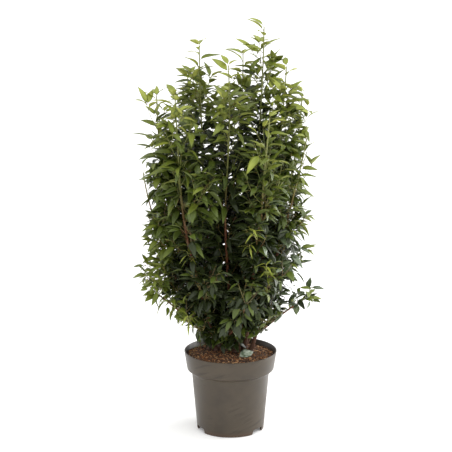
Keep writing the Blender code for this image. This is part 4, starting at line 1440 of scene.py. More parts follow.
@dataclass(frozen=True)
class AgeRule:
    """Where leaves of each age grow, and by what chance. The rule also paints light and shade: lighter greens
    near the crown's surface, at its top and on its sunny right, and darker ones deep inside it and low down.
    """

    height_scatter: float = 0.05
    young_reach: float = 0.12
    young_scatter: float = 0.03
    young_above: float = 0.93
    # Painted light: fresh, lighter leaves near the surface on the sunny right.
    sunny: Region = Region(left=0.10, low=0.42, depth=0.02)
    sunny_chance: float = 0.5
    # Partly painted sheen: glossy leaves with a pale grey-green, low on the right.
    gloss: Region = Region(left=0.06, low=0.32, high=0.75, depth=0.09)
    gloss_chance: float = 0.18
    most_gloss: Region = Region(left=0.13, high=0.60)
    most_gloss_chance: float = 0.52
    pale: Region = Region(right=-0.12, high=0.60, depth=0.08)
    pale_depth: float = 0.06
    # Painted shade: dark leaves low down and in the crown's middle, with a few lit ones near the surface.
    dark_foot: Region = Region(high=0.45)
    painted_shade_middle: Region = Region(left=-0.14, right=0.14, high=0.68)
    lit_chance: float = 0.40
    lit_depth: float = 0.05
    fresh_above: float = 0.95
    fresh_side_above: float = 0.80
    fresh_depths: Span = (-0.03, 0.016)
    mature_above: float = 0.60
    mature_depths: Span = (0.045, 0.12)

    def age(self, mass: Mass, root: Vector, outside: float) -> Age:
        """Give a leaf its age: young at the leaders' tips, fresh outside, dark inside and low down. Young
        leaves are the real new growth; the rest is partly the real darkening of older leaves and partly
        painted light and shade.

        Args:
            mass: Its mass.
            root: The foot of its stalk.
            outside: How deep its tip lies inside the crown's surface.

        Returns:
            Its age.
        """
        rng = mass.rng
        height = root.z + rng.gauss(0.0, self.height_scatter)
        is_leader = mass.kind is Kind.LEADER
        near_tip = is_leader and mass.ceiling - root.z < self.young_reach + rng.gauss(0.0, self.young_scatter)
        if near_tip and height > self.young_above:
            return Age.YOUNG
        # Painted light: lighter fresh leaves on the sunny right.
        if self.sunny.holds(root, outside) and rng.random() < self.sunny_chance:
            return Age.FRESH
        # Partly painted sheen: the glossy leaves' pale grey-green.
        chance = self.most_gloss_chance if self.most_gloss.holds(root, outside) else self.gloss_chance
        if self.gloss.holds(root, outside) and rng.random() < chance:
            return Age.GLOSSY
        if self.pale.holds(root, outside):
            return Age.FRESH if outside < self.pale_depth else Age.MATURE
        # Painted shade: darker leaves low down and in the crown's middle.
        if self.dark_foot.holds(root, outside) or self.painted_shade_middle.holds(root, outside):
            return Age.MATURE if rng.random() < self.lit_chance and outside < self.lit_depth else Age.SHADED
        # Painted light and shade: fresh leaves near the surface and at the top, mature ones deeper in, and
        # shaded ones deepest.
        bright = height > self.fresh_side_above and outside < self.lit_depth
        if height > self.fresh_above or bright or outside < rng.uniform(*self.fresh_depths):
            return Age.FRESH
        return Age.MATURE if outside < self.mature_depths[height > self.mature_above] else Age.SHADED


@dataclass
class Foliage:
    """The twigs and leaves of every mass, grown by one seeded rule."""

    framework: Framework
    ages: AgeRule = AgeRule()
    bare_stems: tuple[BareStem, ...] = (
        BareStem("front", 0.54, 1.02),
        BareStem("front_left", 0.58, 0.80),
        BareStem("tall_left", 0.92, 1.06),
        BareStem("tall_right", 0.92, 1.09),
    )
    twig_radius: float = 0.0012
    tip_radius: float = 0.0006
    tries: int = 3
    twig_sizes: Span = (0.70, 1.20)
    twiglet_roots: Span = (0.30, 0.50)
    twiglet_sizes: Span = (0.40, 0.60)
    twiglet_turn: float = 1.9
    twiglet_opening: float = math.radians(50)
    twiglet_lift: float = 0.4
    twiglet_radius: float = 0.75
    uneven: Span = (0.8, 1.2)
    bare_twig: float = 0.25
    short_of_end: float = 0.004
    closing: float = 0.30
    tip_openings: tuple[float, ...] = (0.25, 0.60, 0.80)
    tip_size: float = 0.85
    leaf_sizes: Span = (0.72, 1.18)
    least_roll: float = 0.30
    midrib_tests: tuple[float, ...] = (0.1, 0.3, 0.5, 0.7, 0.85, 1.0)
    low_size: float = 0.78
    broad_below: float = 0.50
    long_above: float = 0.85
    thin_shell: float = 0.06
    thin_below: float = 0.98
    rim_margin: float = 0.006
    rim_inside: float = 0.016
    rim_outside: float = 0.012
    space_overlap: float = 0.030
    far_off: float = 0.30
    leaf_reach: float = 0.026
    green_above: float = 0.72
    bare_young: float = 0.4
    young_spacing: float = 0.005
    young_opening: float = 0.95
    young_roll: float = 0.3
    young_droop: float = -0.2
    young_sizes: Span = (0.030, 0.042)
    young_places: tuple[Spot, ...] = (
        *((-0.115, -0.170, 0.430), (0.007, -0.190, 0.440), (0.066, -0.200, 0.630)),
        *((0.104, -0.180, 0.590), (0.046, -0.200, 0.710), (0.150, -0.120, 0.700)),
        (-0.140, -0.150, 0.560),
    )

    def __post_init__(self) -> None:
        """Start with no leaves and no young shoots."""
        self.spots: list[LeafSpot] = []
        self.young: list[Run] = []
        self.masses = [*self.framework.masses, *self.framework.short_shoots]

    def grow(self) -> None:
        """Grow every mass's twigs, then the leaves on its axis and on each twig."""
        for mass in self.masses:
            self._grow_twigs(mass)
        twigs = [run for mass in self.masses for run, _ in mass.twigs]
        for place in self.young_places:
            self.young.append(min(twigs, key=lambda run: (run.points[-1] - Vector(place)).length))
        for mass in self.masses:
            habit = HABITS[mass.kind]
            if habit.axis_spacing:
                self._clothe(mass, mass.axis, habit.bare_axis * mass.axis.length, habit.axis_spacing)
            for run, _ in mass.twigs:
                if run in self.young:
                    self._clothe_young(mass, run)
                else:
                    self._clothe(mass, run, self.bare_twig * run.length, habit.leaf_spacing)

    def _grow_twigs(self, mass: Mass) -> None:
        """Grow twigs from a mass's axis, and a finer one from each."""
        rng, axis, habit = mass.rng, mass.axis, HABITS[mass.kind]
        first, last = habit.twig_span
        distance, turn = first * axis.length, rng.uniform(0, math.tau)
        while distance < last * axis.length:
            root, heading = axis.at(distance)
            for _ in range(self.tries):
                turn += GOLDEN_TURN
                out = side_heading(heading, turn, math.radians(rng.uniform(*habit.twig_opening)))
                length = habit.twig_length * rng.uniform(*self.twig_sizes)
                run = Run.rising(root, out, length, habit.twig_lift, 4)
                if self._fits(run.points[1:], mass):
                    mass.twigs.append((run, self.twig_radius))
                    self._grow_twiglet(mass, run, turn)
                    break
            distance += habit.twig_spacing * rng.uniform(*self.uneven)

    def _grow_twiglet(self, mass: Mass, twig: Run, turn: float) -> None:
        """Grow one finer twig from the lower half of a twig."""
        root, heading = twig.at(twig.length * mass.rng.uniform(*self.twiglet_roots))
        out = side_heading(heading, turn + self.twiglet_turn, self.twiglet_opening)
        length = twig.length * mass.rng.uniform(*self.twiglet_sizes)
        run = Run.rising(root, out, length, self.twiglet_lift, 3)
        if self._fits(run.points[1:], mass):
            mass.twigs.append((run, self.twig_radius * self.twiglet_radius))

    def _clothe(self, mass: Mass, run: Run, first: float, spacing: float) -> None:
        """Set leaves along a run, each a golden turn round it from the last, and three at its tip.

        Args:
            mass: The run's mass.
            run: The axis or twig.
            first: How far along it the leaves begin.
            spacing: The mean distance from leaf to leaf.
        """
        rng, habit = mass.rng, HABITS[mass.kind]
        turn, distance = rng.uniform(0, math.tau), first
        while distance < run.length - self.short_of_end:
            opening = math.radians(habit.opening) * (1.0 - self.closing * distance / run.length)
            turn = self._set_leaf(mass, run.at(distance), turn, opening, 1.0)
            distance += spacing * rng.uniform(*self.uneven)
        for opening in self.tip_openings:
            turn = self._set_leaf(mass, run.at(run.length), turn, opening, self.tip_size)

    def _set_leaf(
        self, mass: Mass, place: tuple[Vector, Vector], turn: float, opening: float, scale: float
    ) -> float:
        """Set one leaf on a run, a golden turn further round it for each try.

        Args:
            mass: Its mass.
            place: The point and the heading on the run.
            turn: The turn of the leaf before it.
            opening: The angle between leaf and run.
            scale: Its size against the usual.

        Returns:
            The turn that was tried last.
        """
        root, heading = place
        for _ in range(self.tries):
            turn += GOLDEN_TURN
            if self._try_leaf(mass, root, side_heading(heading, turn, opening), scale):
                break
        return turn

    def _clothe_young(self, mass: Mass, run: Run) -> None:
        """Set narrow new leaves close together along a run, arching out of it on every side."""
        rng = mass.rng
        distance, turn = self.bare_young * run.length, rng.uniform(0, math.tau)
        while distance < run.length:
            root, heading = run.at(distance)
            turn += GOLDEN_TURN
            out = side_heading(heading, turn, self.young_opening)
            way = facing(out, rng.uniform(-self.young_roll, self.young_roll), self.young_droop)
            self.spots.append(LeafSpot(root, way, rng.uniform(*self.young_sizes), NARROW_FORM, Age.YOUNG))
            distance += self.young_spacing

    def _try_leaf(self, mass: Mass, root: Vector, heading: Vector, scale: float) -> bool:
        """Add a leaf unless it would leave the mass's space or touch a limb or the pot.

        Args:
            mass: Its mass.
            root: The point on its twig.
            heading: The way that its stalk leaves.
            scale: Its size against the usual.

        Returns:
            True where the leaf was added, or where the place is to stay bare.
        """
        rng, habit = mass.rng, HABITS[mass.kind]
        upward = min(1.0, max(0.0, (root.z - self.broad_below) / (self.long_above - self.broad_below)))
        grown = self.low_size + (1 - self.low_size) * upward
        size = habit.leaf_length * scale * grown * rng.uniform(*self.leaf_sizes)
        roll = rng.choice((-1, 1)) * habit.roll * rng.uniform(self.least_roll, 1.0)
        turn = facing(heading, roll, rng.uniform(*habit.droop))
        form = rng.randrange(HALF_THE_FORMS) + (0 if rng.random() < upward else HALF_THE_FORMS)
        centre = LEAF_FORMS[form].centre
        edge = Vector((0.0, LEAF_FORMS[form].width / 2, 0.0))
        spots = (centre(0.25), centre(1.0), centre(0.5) + edge, centre(0.5) - edge)
        points = [root + turn @ spot * size for spot in spots]
        if not self._fits(points[1:], mass, self.leaf_reach):
            return False
        if self.framework.limbs.touches(points, [(0, 2, 1), (0, 1, 3)]):
            return False
        midrib = [root + turn @ centre(share) * size for share in self.midrib_tests]
        if any(bare.hidden_by(midrib, self.framework.stems[bare.name]) for bare in self.bare_stems):
            return False
        # Towards the crown's surface more places stay bare, which lets the sky in.
        outside = self.framework.crown.depth(points[1])
        bare = habit.thinning * max(0.0, 1.0 - outside / self.thin_shell)
        if root.z > self.thin_below or rng.random() >= bare:
            self.spots.append(LeafSpot(root, turn, size, form, self.ages.age(mass, root, outside)))
        return True

    def _fits(self, points: Sequence[Vector], mass: Mass, reach: float = 0.0) -> bool:
        """Find whether points keep inside the crown, off the pot, and near enough to their own mass.

        Args:
            points: The points.
            mass: Their mass.
            reach: How far they may stand out of the crown's surface.

        Returns:
            True where all of them do.
        """
        for point in points:
            if point.z > mass.ceiling or self.framework.crown.depth(point) < -reach:
                return False
            radius = math.hypot(point.x, point.y)
            over_rim = radius > POT.rim_radius - self.rim_inside
            floor = (POT.height if over_rim else POT.compost_top) + self.rim_margin
            if point.z < floor and radius < POT.rim_radius + self.rim_outside:
                return False
        if mass.kind in (Kind.INNER, Kind.HANGING):
            return True
        middle = sum(points, Vector()) / len(points)
        mine = mass.axis.distance_to(middle) - self.space_overlap
        return all(
            other is mass
            or (middle - other.axis.points[-1]).length > mine + self.far_off
            or other.axis.distance_to(middle) >= mine
            for other in self.framework.masses
        )

    def _wood(self, run: Run) -> Wood:
        """The piece that a twig is part of."""
        if run in self.young:
            return Wood.YOUNG
        return Wood.GREEN if run.points[0].z >= self.green_above else Wood.OLIVE

    def build(self, scatter: LeafScatter) -> None:
        """Make the twigs' and the leaves' pieces."""
        nodes = [mass.name for mass in self.framework.masses]
        runs = [pair for mass in self.masses for pair in mass.twigs]
        runs += [(m.axis, m.butt_radius) for m in self.masses if m.kind in (Kind.SIDE, Kind.LOW)]
        for wood in Wood:
            self._build_twigs(wood, [pair for pair in runs if self._wood(pair[0]) is wood], nodes)
        for age in Age:
            spots = [spot for spot in self.spots if spot.age is age]
            for piece in scatter.build(f"{age.value}_leaves", spots, leaf_skins(age)):
                finish_piece(piece, Slot.FOLIAGE, *nodes)
            LOG.info("%s leaves: %d", age.value, len(spots))

    def _build_twigs(self, wood: Wood, runs: Sequence[tuple[Run, float]], nodes: Sequence[str]) -> None:
        """Make one piece of the twigs that share a skin, each with its own radius."""
        curve = bpy.data.curves.new(wood.value, "CURVE")
        curve.dimensions = "3D"
        curve.bevel_depth = 1.0
        curve.bevel_resolution = 1
        curve.use_fill_caps = True
        for run, radius in runs:
            self._add_spline(curve, run, radius)
        piece = baked(new_object(wood.value, curve), wood.value)
        turn_outwards(piece.data, merge=True)
        piece.data.materials.clear()
        piece.data.materials.append(TWIG_SKINS[wood].build())
        finish_piece(piece, Slot.FOLIAGE, *nodes)

    def _add_spline(self, curve: Curve, run: Run, radius: float) -> None:
        """Add a run to a curve, tapering to its tip."""
        spline = curve.splines.new("POLY")
        spline.points.add(len(run.points) - 1)
        for index, (node, point) in enumerate(zip(spline.points, run.points)):
            node.co = (*point, 1.0)
            node.radius = radius + (self.tip_radius - radius) * index / (len(run.points) - 1)


def side_heading(heading: Vector, turn: float, opening: float) -> Vector:
    """Open a heading from another.

    Args:
        heading: The other heading.
        turn: The turn round it.
        opening: The angle between them.

    Returns:
        The new heading.
    """
    side = heading.orthogonal().normalized()
    radial = math.cos(turn) * side + math.sin(turn) * heading.cross(side)
    return (heading * math.cos(opening) + radial * math.sin(opening)).normalized()


def facing(heading: Vector, roll: float, droop: float) -> Matrix:
    """Find the turn that points a leaf along a heading, its upper side up.

    Args:
        heading: The heading.
        roll: How far the leaf is rolled about its length.
        droop: How far it drops below the heading.

    Returns:
        The turn.
    """
    level = Vector((heading.x, heading.y, 0.0))
    level = level.normalized() if level.length > 1e-4 else RIGHT
    pitch = math.atan2(heading.z, math.hypot(heading.x, heading.y)) - droop
    forward = level * math.cos(pitch) + UP * math.sin(pitch)
    side = UP.cross(forward).normalized()
    turn = Matrix((forward, side, forward.cross(side))).transposed()
    return turn @ Matrix.Rotation(roll, 3, "X")


# ---- Pot, compost and litter ----


@dataclass
class Pot:
    """The moulded nursery pot: a deep rim band, a tapering wall, a foot ring and a middle pad."""

    steps: int = 144
    lip_round: float = 0.0014
    lip_turns: tuple[float, ...] = (0, 22, 45, 68, 90)
    sharp_angle: float = 38.0
    notch_depth: float = 0.036
    notch_top: float = 0.86
    notch_foot: float = 1.08
    notch_round: float = 0.002
    drain_corners: int = 24

    def _outer(self) -> list[Span]:
        """The outer side from the lip to the foot, with points round each moulded edge."""
        rim, lip = POT.rim_radius, self.lip_round
        step = POT.height - POT.step_depth
        turns = [math.radians(angle) for angle in self.lip_turns]
        band_foot = ((0.0007, 0.0050), (0.0, 0.0016), (-0.0008, 0.0003), (-0.0024, 0.0))
        edges = (
            (POT.band_foot_radius, POT.height - POT.band_depth, band_foot),
            (POT.wall_top_radius, step, ((0.0040, 0.0042), (0.0008, 0.0010), (0.0, -0.0012))),
            (POT.foot_radius, 0.0, ((0.0002, 0.0040), (-0.0003, 0.0012), (-0.0014, 0.0002), (-0.0022, 0.0))),
        )
        top = [(rim - lip + lip * math.sin(t), POT.height - lip + lip * math.cos(t)) for t in turns]
        return top + [(radius + out, height + up) for radius, height, edge in edges for out, up in edge]

    def _inner(self) -> list[Span]:
        """The inner side from the floor's middle to the rim, following the outer side."""
        lip, top = POT.rim_radius - POT.rim_lip, POT.height
        return [*POT.lining(POT.wall), (lip, top - 0.0010), (lip + 0.0006, top - 0.0002)]

    def _under(self) -> list[Span]:
        """The underside from the foot ring inwards."""
        ring, pad, floor = POT.foot_radius - POT.foot_width, POT.pad_radius, POT.floor_underside
        return [(ring, 0.0), (ring - 0.002, floor), (pad + POT.pad_slope, floor), (pad, 0.0), (0.0, 0.0)]

    def build(self, finish: MouldedPolypropylene) -> Object:
        """Turn the pot, cut its notches and drain holes, and dress it."""
        whole = turned("nursery_pot_turned", [*self._inner(), *self._outer(), *self._under()], self.steps)
        cutters = [*self._notches(), *self._drains()]
        for cutter in cutters:
            cut = whole.modifiers.new(cutter.name, "BOOLEAN")
            cut.operation = "DIFFERENCE"
            cut.object = cutter
        piece = baked(whole, "nursery_pot")
        for cutter in cutters:
            bpy.data.objects.remove(cutter)
        piece.data.shade_smooth()
        piece.data.set_sharp_from_angle(angle=math.radians(self.sharp_angle))
        piece.data.materials.append(finish.build())
        return finish_piece(piece, Slot.POT, "pot")

    def _notches(self) -> Iterator[Object]:
        """The cutters of the foot ring's notches, with sloping ends."""
        for index in range(POT.notch_count):
            shape = bmesh.new()
            bmesh.ops.create_cube(shape, size=1.0)
            for vert in shape.verts:
                top = vert.co.z > 0
                vert.co.x *= self.notch_depth
                vert.co.y *= POT.notch_width * (self.notch_top if top else self.notch_foot)
                vert.co.z = POT.notch_height if top else -POT.notch_height
            edges = [edge for edge in shape.edges if all(vert.co.z > 0 for vert in edge.verts)]
            bmesh.ops.bevel(shape, geom=edges, offset=self.notch_round, segments=3, affect="EDGES")
            angle = POT.notch_first_angle + index * 360 / POT.notch_count
            yield self._placed(shape, f"notch_{index}", POT.foot_radius, angle, 0.0)

    def _drains(self) -> Iterator[Object]:
        """The cutters of the drain holes."""
        for index in range(POT.drain_count):
            shape = bmesh.new()
            size = {"radius1": POT.drain_radius, "radius2": POT.drain_radius, "depth": 6 * POT.wall}
            bmesh.ops.create_cone(shape, cap_ends=True, segments=self.drain_corners, **size)
            angle = POT.drain_first_angle + index * 360 / POT.drain_count
            yield self._placed(shape, f"drain_{index}", POT.drain_circle, angle, POT.floor_underside)

    @staticmethod
    def _placed(shape: BMesh, name: str, radius: float, degrees: float, height: float) -> Object:
        """Make an object of a shape, set out from the pot's axis.

        Args:
            shape: The shape, which is freed.
            name: The object's name.
            radius: How far out it stands.
            degrees: The angle that it stands at and is turned to.
            height: Its height.

        Returns:
            The object.
        """
        angle = math.radians(degrees)
        made = new_object(name, mesh_of(shape, name))
        made.location = (radius * math.cos(angle), radius * math.sin(angle), height)
        made.rotation_euler = (0.0, 0.0, angle)
        return made


@dataclass
class Compost:
    """The bark compost: a lumpy surface under loose chips, filling the pot to a shallow dome."""

    steps: int = 128
    rings: int = 34
    wall_gap: float = 0.001
    top_margin: float = 0.0005
    lump: float = 0.0022
    humps: float = 38.0
    crumbs: float = 210.0

    def _profile(self) -> list[Span]:
        """The section from the middle of the top, out, down the wall and back along the floor."""
        inset = POT.wall + CLEARANCE
        share = (POT.compost_edge - POT.height + POT.band_depth) / POT.band_depth
        inside = POT.band_foot_radius + (POT.rim_radius - POT.band_foot_radius) * share
        edge = inside - inset - self.wall_gap
        radii = [edge * ring / self.rings for ring in range(self.rings + 1)]
        return [*((radius, self._height(radius, edge)) for radius in radii), *POT.lining(inset)[::-1]]

    def _height(self, radius: float, edge: float) -> float:
        """The mean height of the surface at a radius."""
        fall = max(0.0, (radius - POT.level_radius) / (edge - POT.level_radius))
        return POT.compost_top + (POT.compost_edge - POT.compost_top) * fall

    def build(self, finish: CompostedBark) -> Object:
        """Turn the compost, roughen its top and dress it."""
        piece = baked(turned("compost_turned", self._profile(), self.steps), "compost_bed")
        for vert in piece.data.vertices:
            if vert.co.z > POT.compost_edge - self.top_margin:
                vert.co.z += self._roughness(vert.co)
        piece.data.shade_smooth()
        piece.data.materials.append(finish.build())
        return finish_piece(piece, Slot.COMPOST, "compost")

    def _roughness(self, place: Vector) -> float:
        """How far the surface lies from its mean height: crumbs on shallow humps."""
        hump = noise.noise(Vector((place.x * self.humps, place.y * self.humps, 0.0)))
        crumb = noise.noise(Vector((place.x * self.crumbs, place.y * self.crumbs, 3.0)))
        return self.lump * (0.6 * hump + 0.6 * crumb) - 0.5 * self.lump


@dataclass
class BarkChips:
    """Loose bark chips over the compost, set on it by Geometry Nodes."""

    density: float = 32000.0
    smallest: float = 0.0026
    largest: float = 0.0098
    forms: int = 5
    widths: Span = (0.34, 0.6)
    thicknesses: Span = (0.14, 0.24)
    ragged: Spot = (0.14, 0.10, 0.05)
    broken_corner: float = 0.05
    tilt: float = 0.55
    level: float = 0.5
    into_wall: float = 0.0005

    def __post_init__(self) -> None:
        """Make the chip forms, unlinked from the scene, and the node tree."""
        self.shapes = bpy.data.collections.new("chip_forms")
        for index in range(self.forms):
            self.shapes.objects.link(self._form(index))
        self.tree = self._make_tree()

    def _form(self, index: int) -> Object:
        """One chip: a flat splinter with broken ends and its corners knocked off."""
        rng = random.Random(f"chip {index}")
        shape = bmesh.new()
        bmesh.ops.create_cube(shape, size=1.0)
        width, thickness = rng.uniform(*self.widths), rng.uniform(*self.thicknesses)
        for vert in shape.verts:
            ragged = Vector([rng.uniform(-most, most) for most in self.ragged])
            vert.co = Vector((vert.co.x, vert.co.y * width, vert.co.z * thickness)) + ragged
        bmesh.ops.bevel(shape, geom=shape.edges[:], offset=self.broken_corner, segments=1, affect="EDGES")
        name = f"chip_form_{index}"
        return bpy.data.objects.new(name, mesh_of(shape, name))

    def _make_tree(self) -> NodeTree:
        """Build the tree: chips scattered over faces that look up, turned at random and realised."""
        numbers = {"Density": "Float", "Smallest": "Float", "Largest": "Float", "Seed": "Int"}
        inputs = {"Chip Forms": "Collection", **numbers, "Finish": "Material"}
        tree, given = new_geometry_tree("scatter_chips", inputs)
        normal = add_node(tree, "GeometryNodeInputNormal")
        axes = add_node(tree, "ShaderNodeSeparateXYZ", links={"Vector": (normal, "Normal")})
        above = {"data_type": "FLOAT", "operation": "GREATER_THAN"}
        upward = add_node(tree, "FunctionNodeCompare", {1: self.level}, {0: (axes, "Z")}, above)
        seed: dict[str | int, Socket] = {"Seed": (given, "Seed")}
        over = {"Mesh": (given, "Geometry"), "Selection": (upward, "Result"), "Density": (given, "Density")}
        points = add_node(tree, "GeometryNodeDistributePointsOnFaces", links=over | seed)
        ends = {4: 0, 5: self.forms - 1}
        which = add_node(tree, "FunctionNodeRandomValue", ends, seed, {"data_type": "INT"})
        turns = {0: (-self.tilt, -self.tilt, 0.0), 1: (self.tilt, self.tilt, math.tau)}
        turn = add_node(tree, "FunctionNodeRandomValue", turns, seed, {"data_type": "FLOAT_VECTOR"})
        laid = add_node(tree, "FunctionNodeEulerToRotation", links={"Euler": (turn, 0)})
        sizes = {2: (given, "Smallest"), 3: (given, "Largest"), **seed}
        size = add_node(tree, "FunctionNodeRandomValue", links=sizes, settings={"data_type": "FLOAT"})
        at = {"Points": (points, "Points"), "Instance Index": (which, 2)}
        at |= {"Rotation": (laid, "Rotation"), "Scale": (size, 1)}
        wear = {"Geometry": set_forms(tree, given, "Chip Forms", at), "Material": (given, "Finish")}
        dressed = add_node(tree, "GeometryNodeSetMaterial", links=wear)
        add_node(tree, "NodeGroupOutput", links={"Geometry": (dressed, "Geometry")})
        return tree

    def build(self, colour: str, bed: Object, share: float, seed: int) -> None:
        """Scatter one colour of chip over the compost.

        Args:
            colour: The chips' colour, as CHIP_FINISHES names it.
            bed: The compost's piece.
            share: The share of all the chips that have this colour.
            seed: The scatter's seed.
        """
        name = f"{colour}_bark_chips"
        obj = new_object(name, bed.data.copy())
        finish = CHIP_FINISHES[colour].build()
        inputs = {"Chip Forms": self.shapes, "Density": self.density * share, "Seed": seed, "Finish": finish}
        inputs |= {"Smallest": self.smallest, "Largest": self.largest}
        put_tree_on(obj, self.tree, inputs)
        piece = baked(obj, name)
        self._keep_inside(piece.data)
        finish_piece(piece, Slot.COMPOST, "compost")

    def _keep_inside(self, mesh: Mesh) -> None:
        """Drop the chips that reach into the pot's wall."""
        shape = bmesh.new()
        shape.from_mesh(mesh)
        limit = POT.band_foot_radius + self.into_wall
        out = {vert for vert in shape.verts if math.hypot(vert.co.x, vert.co.y) > limit}
        todo = list(out)
        while todo:
            for edge in todo.pop().link_edges:
                fresh = set(edge.verts) - out
                out |= fresh
                todo.extend(fresh)
        bmesh.ops.delete(shape, geom=list(out), context="VERTS")
        shape.to_mesh(mesh)
        shape.free()


@dataclass(frozen=True)
class ShootPlan:
    """A short shoot: its height, radius, rings and sides, and how far apart its leaf nodes are."""

    height: float
    radius: float
    rings: int
    sides: int
    node_spacing: float
    taper: float = 0.0
    lean: float = 0.0


@dataclass
class Litter:
    """What lies on the compost: the old leaf, a low sprig by the wall and a pruned stub."""

    leaf_place: Span = (0.021, -0.055)
    leaf_length: float = 0.060
    leaf_turn: float = 30.0
    leaf_lean: float = 36.0
    leaf_pitch: float = 14.0
    sprig_place: Span = (-0.092, 0.058)
    sprig_depth: float = 0.002
    sprig: ShootPlan = ShootPlan(0.030, 0.0011, 5, 8, 0.006, taper=0.0001)
    sprig_leaves: int = 7
    sprig_opening: float = 0.75
    sprig_first: float = 0.006
    sprig_spacing: float = 0.030 / 9
    stub_place: Span = (0.004, 0.040)
    stub_depth: float = 0.003
    stub: ShootPlan = ShootPlan(0.016, 0.0048, 8, 12, 0.008, lean=0.0004)

    def build(self, scatter: LeafScatter, bark: Material) -> None:
        """Make the leaf, the sprig and the stub."""
        self._build_leaf()
        self._build_sprig(scatter)
        root = Vector((*self.stub_place, POT.compost_top - self.stub_depth))
        finish_piece(self._shoot("pruned_stub", root, self.stub, bark), Slot.BARK)

    def _build_leaf(self) -> None:
        """The old leaf, in the place of its solid."""
        low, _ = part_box("fallen_leaf")
        made = OLD_LEAF_FORM.build("fallen_laurel_leaf")
        mesh = made.data
        bpy.data.objects.remove(made)
        turn = Matrix.Rotation(math.radians(self.leaf_turn), 4, "Z")
        lean = Matrix.Rotation(math.radians(self.leaf_lean), 4, "X")
        pitch = Matrix.Rotation(math.radians(-self.leaf_pitch), 4, "Y")
        mesh.transform(turn @ pitch @ lean @ Matrix.Scale(self.leaf_length, 4))
        lowest = min(vert.co.z for vert in mesh.vertices)
        mesh.transform(Matrix.Translation((*self.leaf_place, low[2] - lowest)))
        mesh.materials.append(OLD_SKIN.build())
        finish_piece(new_object("fallen_laurel_leaf", mesh), Slot.OLD_LEAF, "fallen_leaf")

    def _build_sprig(self, scatter: LeafScatter) -> None:
        """A low green sprig by the pot's wall."""
        rng = random.Random("sprig")
        root = Vector((*self.sprig_place, POT.compost_edge - self.sprig_depth))
        spots = []
        for index in range(self.sprig_leaves):
            heading = side_heading(UP, index * GOLDEN_TURN, self.sprig_opening)
            turn = facing(heading, rng.uniform(-0.4, 0.4), rng.uniform(-0.1, 0.4))
            base = root + UP * (self.sprig_first + self.sprig_spacing * index)
            spots.append(LeafSpot(base, turn, rng.uniform(0.022, 0.034), index % len(LEAF_FORMS), Age.FRESH))
        skins = leaf_skins(Age.MATURE)
        for piece in scatter.build("sprig_leaves", spots, skins):
            finish_piece(piece, Slot.FOLIAGE)
        stalk = skins[Face.STALK]
        finish_piece(self._shoot("sprig_stem", root, self.sprig, stalk), Slot.FOLIAGE)

    @staticmethod
    def _shoot(name: str, root: Vector, plan: ShootPlan, skin: Material) -> Object:
        """A short upright shoot, which tapers and leans a little from ring to ring."""
        rings = range(plan.rings + 1)
        climb = plan.height / plan.rings
        points = [root + Vector((plan.lean * i, 0.0, climb * i)) for i in rings]
        radii = [plan.radius - plan.taper * i for i in rings]
        return RidgedTube(plan.sides, plan.node_spacing).build(name, points, radii, skin)


# ---- Studio ----


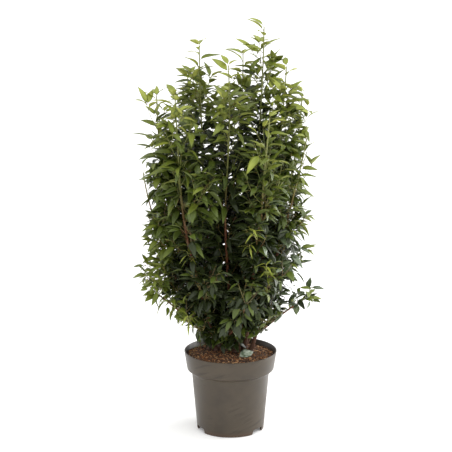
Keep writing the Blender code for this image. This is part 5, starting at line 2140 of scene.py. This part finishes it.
@dataclass
class Studio:
    """A pale floor, soft even light that is stronger from the right, and the camera.

    Angles are degrees. The focal length is in the pixels of a square frame.
    """

    camera_pitch: float = 12.46
    focal_pixels: float = 1548.0
    frame_pixels: float = 452.0
    sensor: float = 36.0
    floor_size: float = 60.0
    floor_drop: float = 0.0005
    floor_glow: float = 0.14
    surround: float = 1.04
    key_power: float = 1.2
    key_width: float = 70.0
    key_turn: Spot = (16.0, 20.0, 0.0)
    panel_power: float = 60.0
    panel_size: Span = (1.6, 2.4)
    panel_place: Spot = (2.3, 1.0, 0.9)
    panel_turn: Spot = (90.0, 0.0, 113.5)

    def build(self) -> None:
        """Make the floor, the lights and the camera."""
        scene = bpy.context.scene
        scene.view_settings.view_transform = "Standard"
        self._build_floor()
        scene.world = self._white_surround()
        self._build_lights()
        camera = bpy.data.cameras.new("camera")
        camera.sensor_width = self.sensor
        camera.lens = self.sensor * self.focal_pixels / self.frame_pixels
        scene.camera = self._placed(camera, VIEWPOINT, (90 - self.camera_pitch, 0.0, 0.0))

    @staticmethod
    def _placed(data: ID, place: Sequence[float], turn: Sequence[float]) -> Object:
        """Place a light or a camera, turned by degrees about X, Y and Z."""
        made = new_object(data.name, data)
        made.location = place
        made.rotation_euler = [math.radians(angle) for angle in turn]
        return made

    def _build_floor(self) -> None:
        """A wide matt floor just under the pot, which glows a little and so keeps its shadow faint."""
        half = self.floor_size / 2
        corners = [(-half, -half, 0.0), (half, -half, 0.0), (half, half, 0.0), (-half, half, 0.0)]
        mesh = mesh_from("floor", corners, [(0, 1, 2, 3)])
        paint = bpy.data.materials.new("matt_white_floor_paint")
        paint.use_nodes = True
        looks = {"Base Color": linear("#fafaf9"), "Roughness": 0.9, "Emission Strength": self.floor_glow}
        looks["Emission Color"] = linear("#ffffff")
        for socket, value in looks.items():
            paint.node_tree.nodes["Principled BSDF"].inputs[socket].default_value = value
        mesh.materials.append(paint)
        floor = new_object("floor", mesh)
        floor.location.z = -self.floor_drop

    def _white_surround(self) -> bpy.types.World:
        """An even white surround."""
        world = bpy.data.worlds.new("white_surround")
        world.use_nodes = True
        sky = world.node_tree.nodes["Background"]
        sky.inputs["Color"].default_value = linear("#ffffff")
        sky.inputs["Strength"].default_value = self.surround
        return world

    def _build_lights(self) -> None:
        """A very soft key from above and to the right, and a tall panel beside the pot."""
        key = bpy.data.lights.new("key", "SUN")
        key.energy = self.key_power
        key.angle = math.radians(self.key_width)
        self._placed(key, (0.0, 0.0, 0.0), self.key_turn)
        panel = bpy.data.lights.new("side_panel", "AREA")
        panel.shape = "RECTANGLE"
        panel.size, panel.size_y = self.panel_size
        panel.energy = self.panel_power
        self._placed(panel, self.panel_place, self.panel_turn)


def main() -> None:
    """Build the dressed plant round its solids."""
    logging.basicConfig(level=logging.INFO, format="%(name)s: %(message)s")
    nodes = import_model()["nodes"]
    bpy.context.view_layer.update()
    bark = YoungBark().build()
    framework = Framework(Crown(), nodes)
    framework.build_limbs(bark)
    scatter = LeafScatter()
    foliage = Foliage(framework)
    foliage.grow()
    foliage.build(scatter)
    Pot().build(MouldedPolypropylene())
    bed = Compost().build(CompostedBark())
    chips = BarkChips()
    chips.build("tan", bed, 0.30, 3)
    chips.build("red", bed, 0.40, 5)
    chips.build("dark", bed, 0.30, 8)
    Litter().build(scatter, bark)
    Studio().build()


if __name__ == "__main__":
    main()
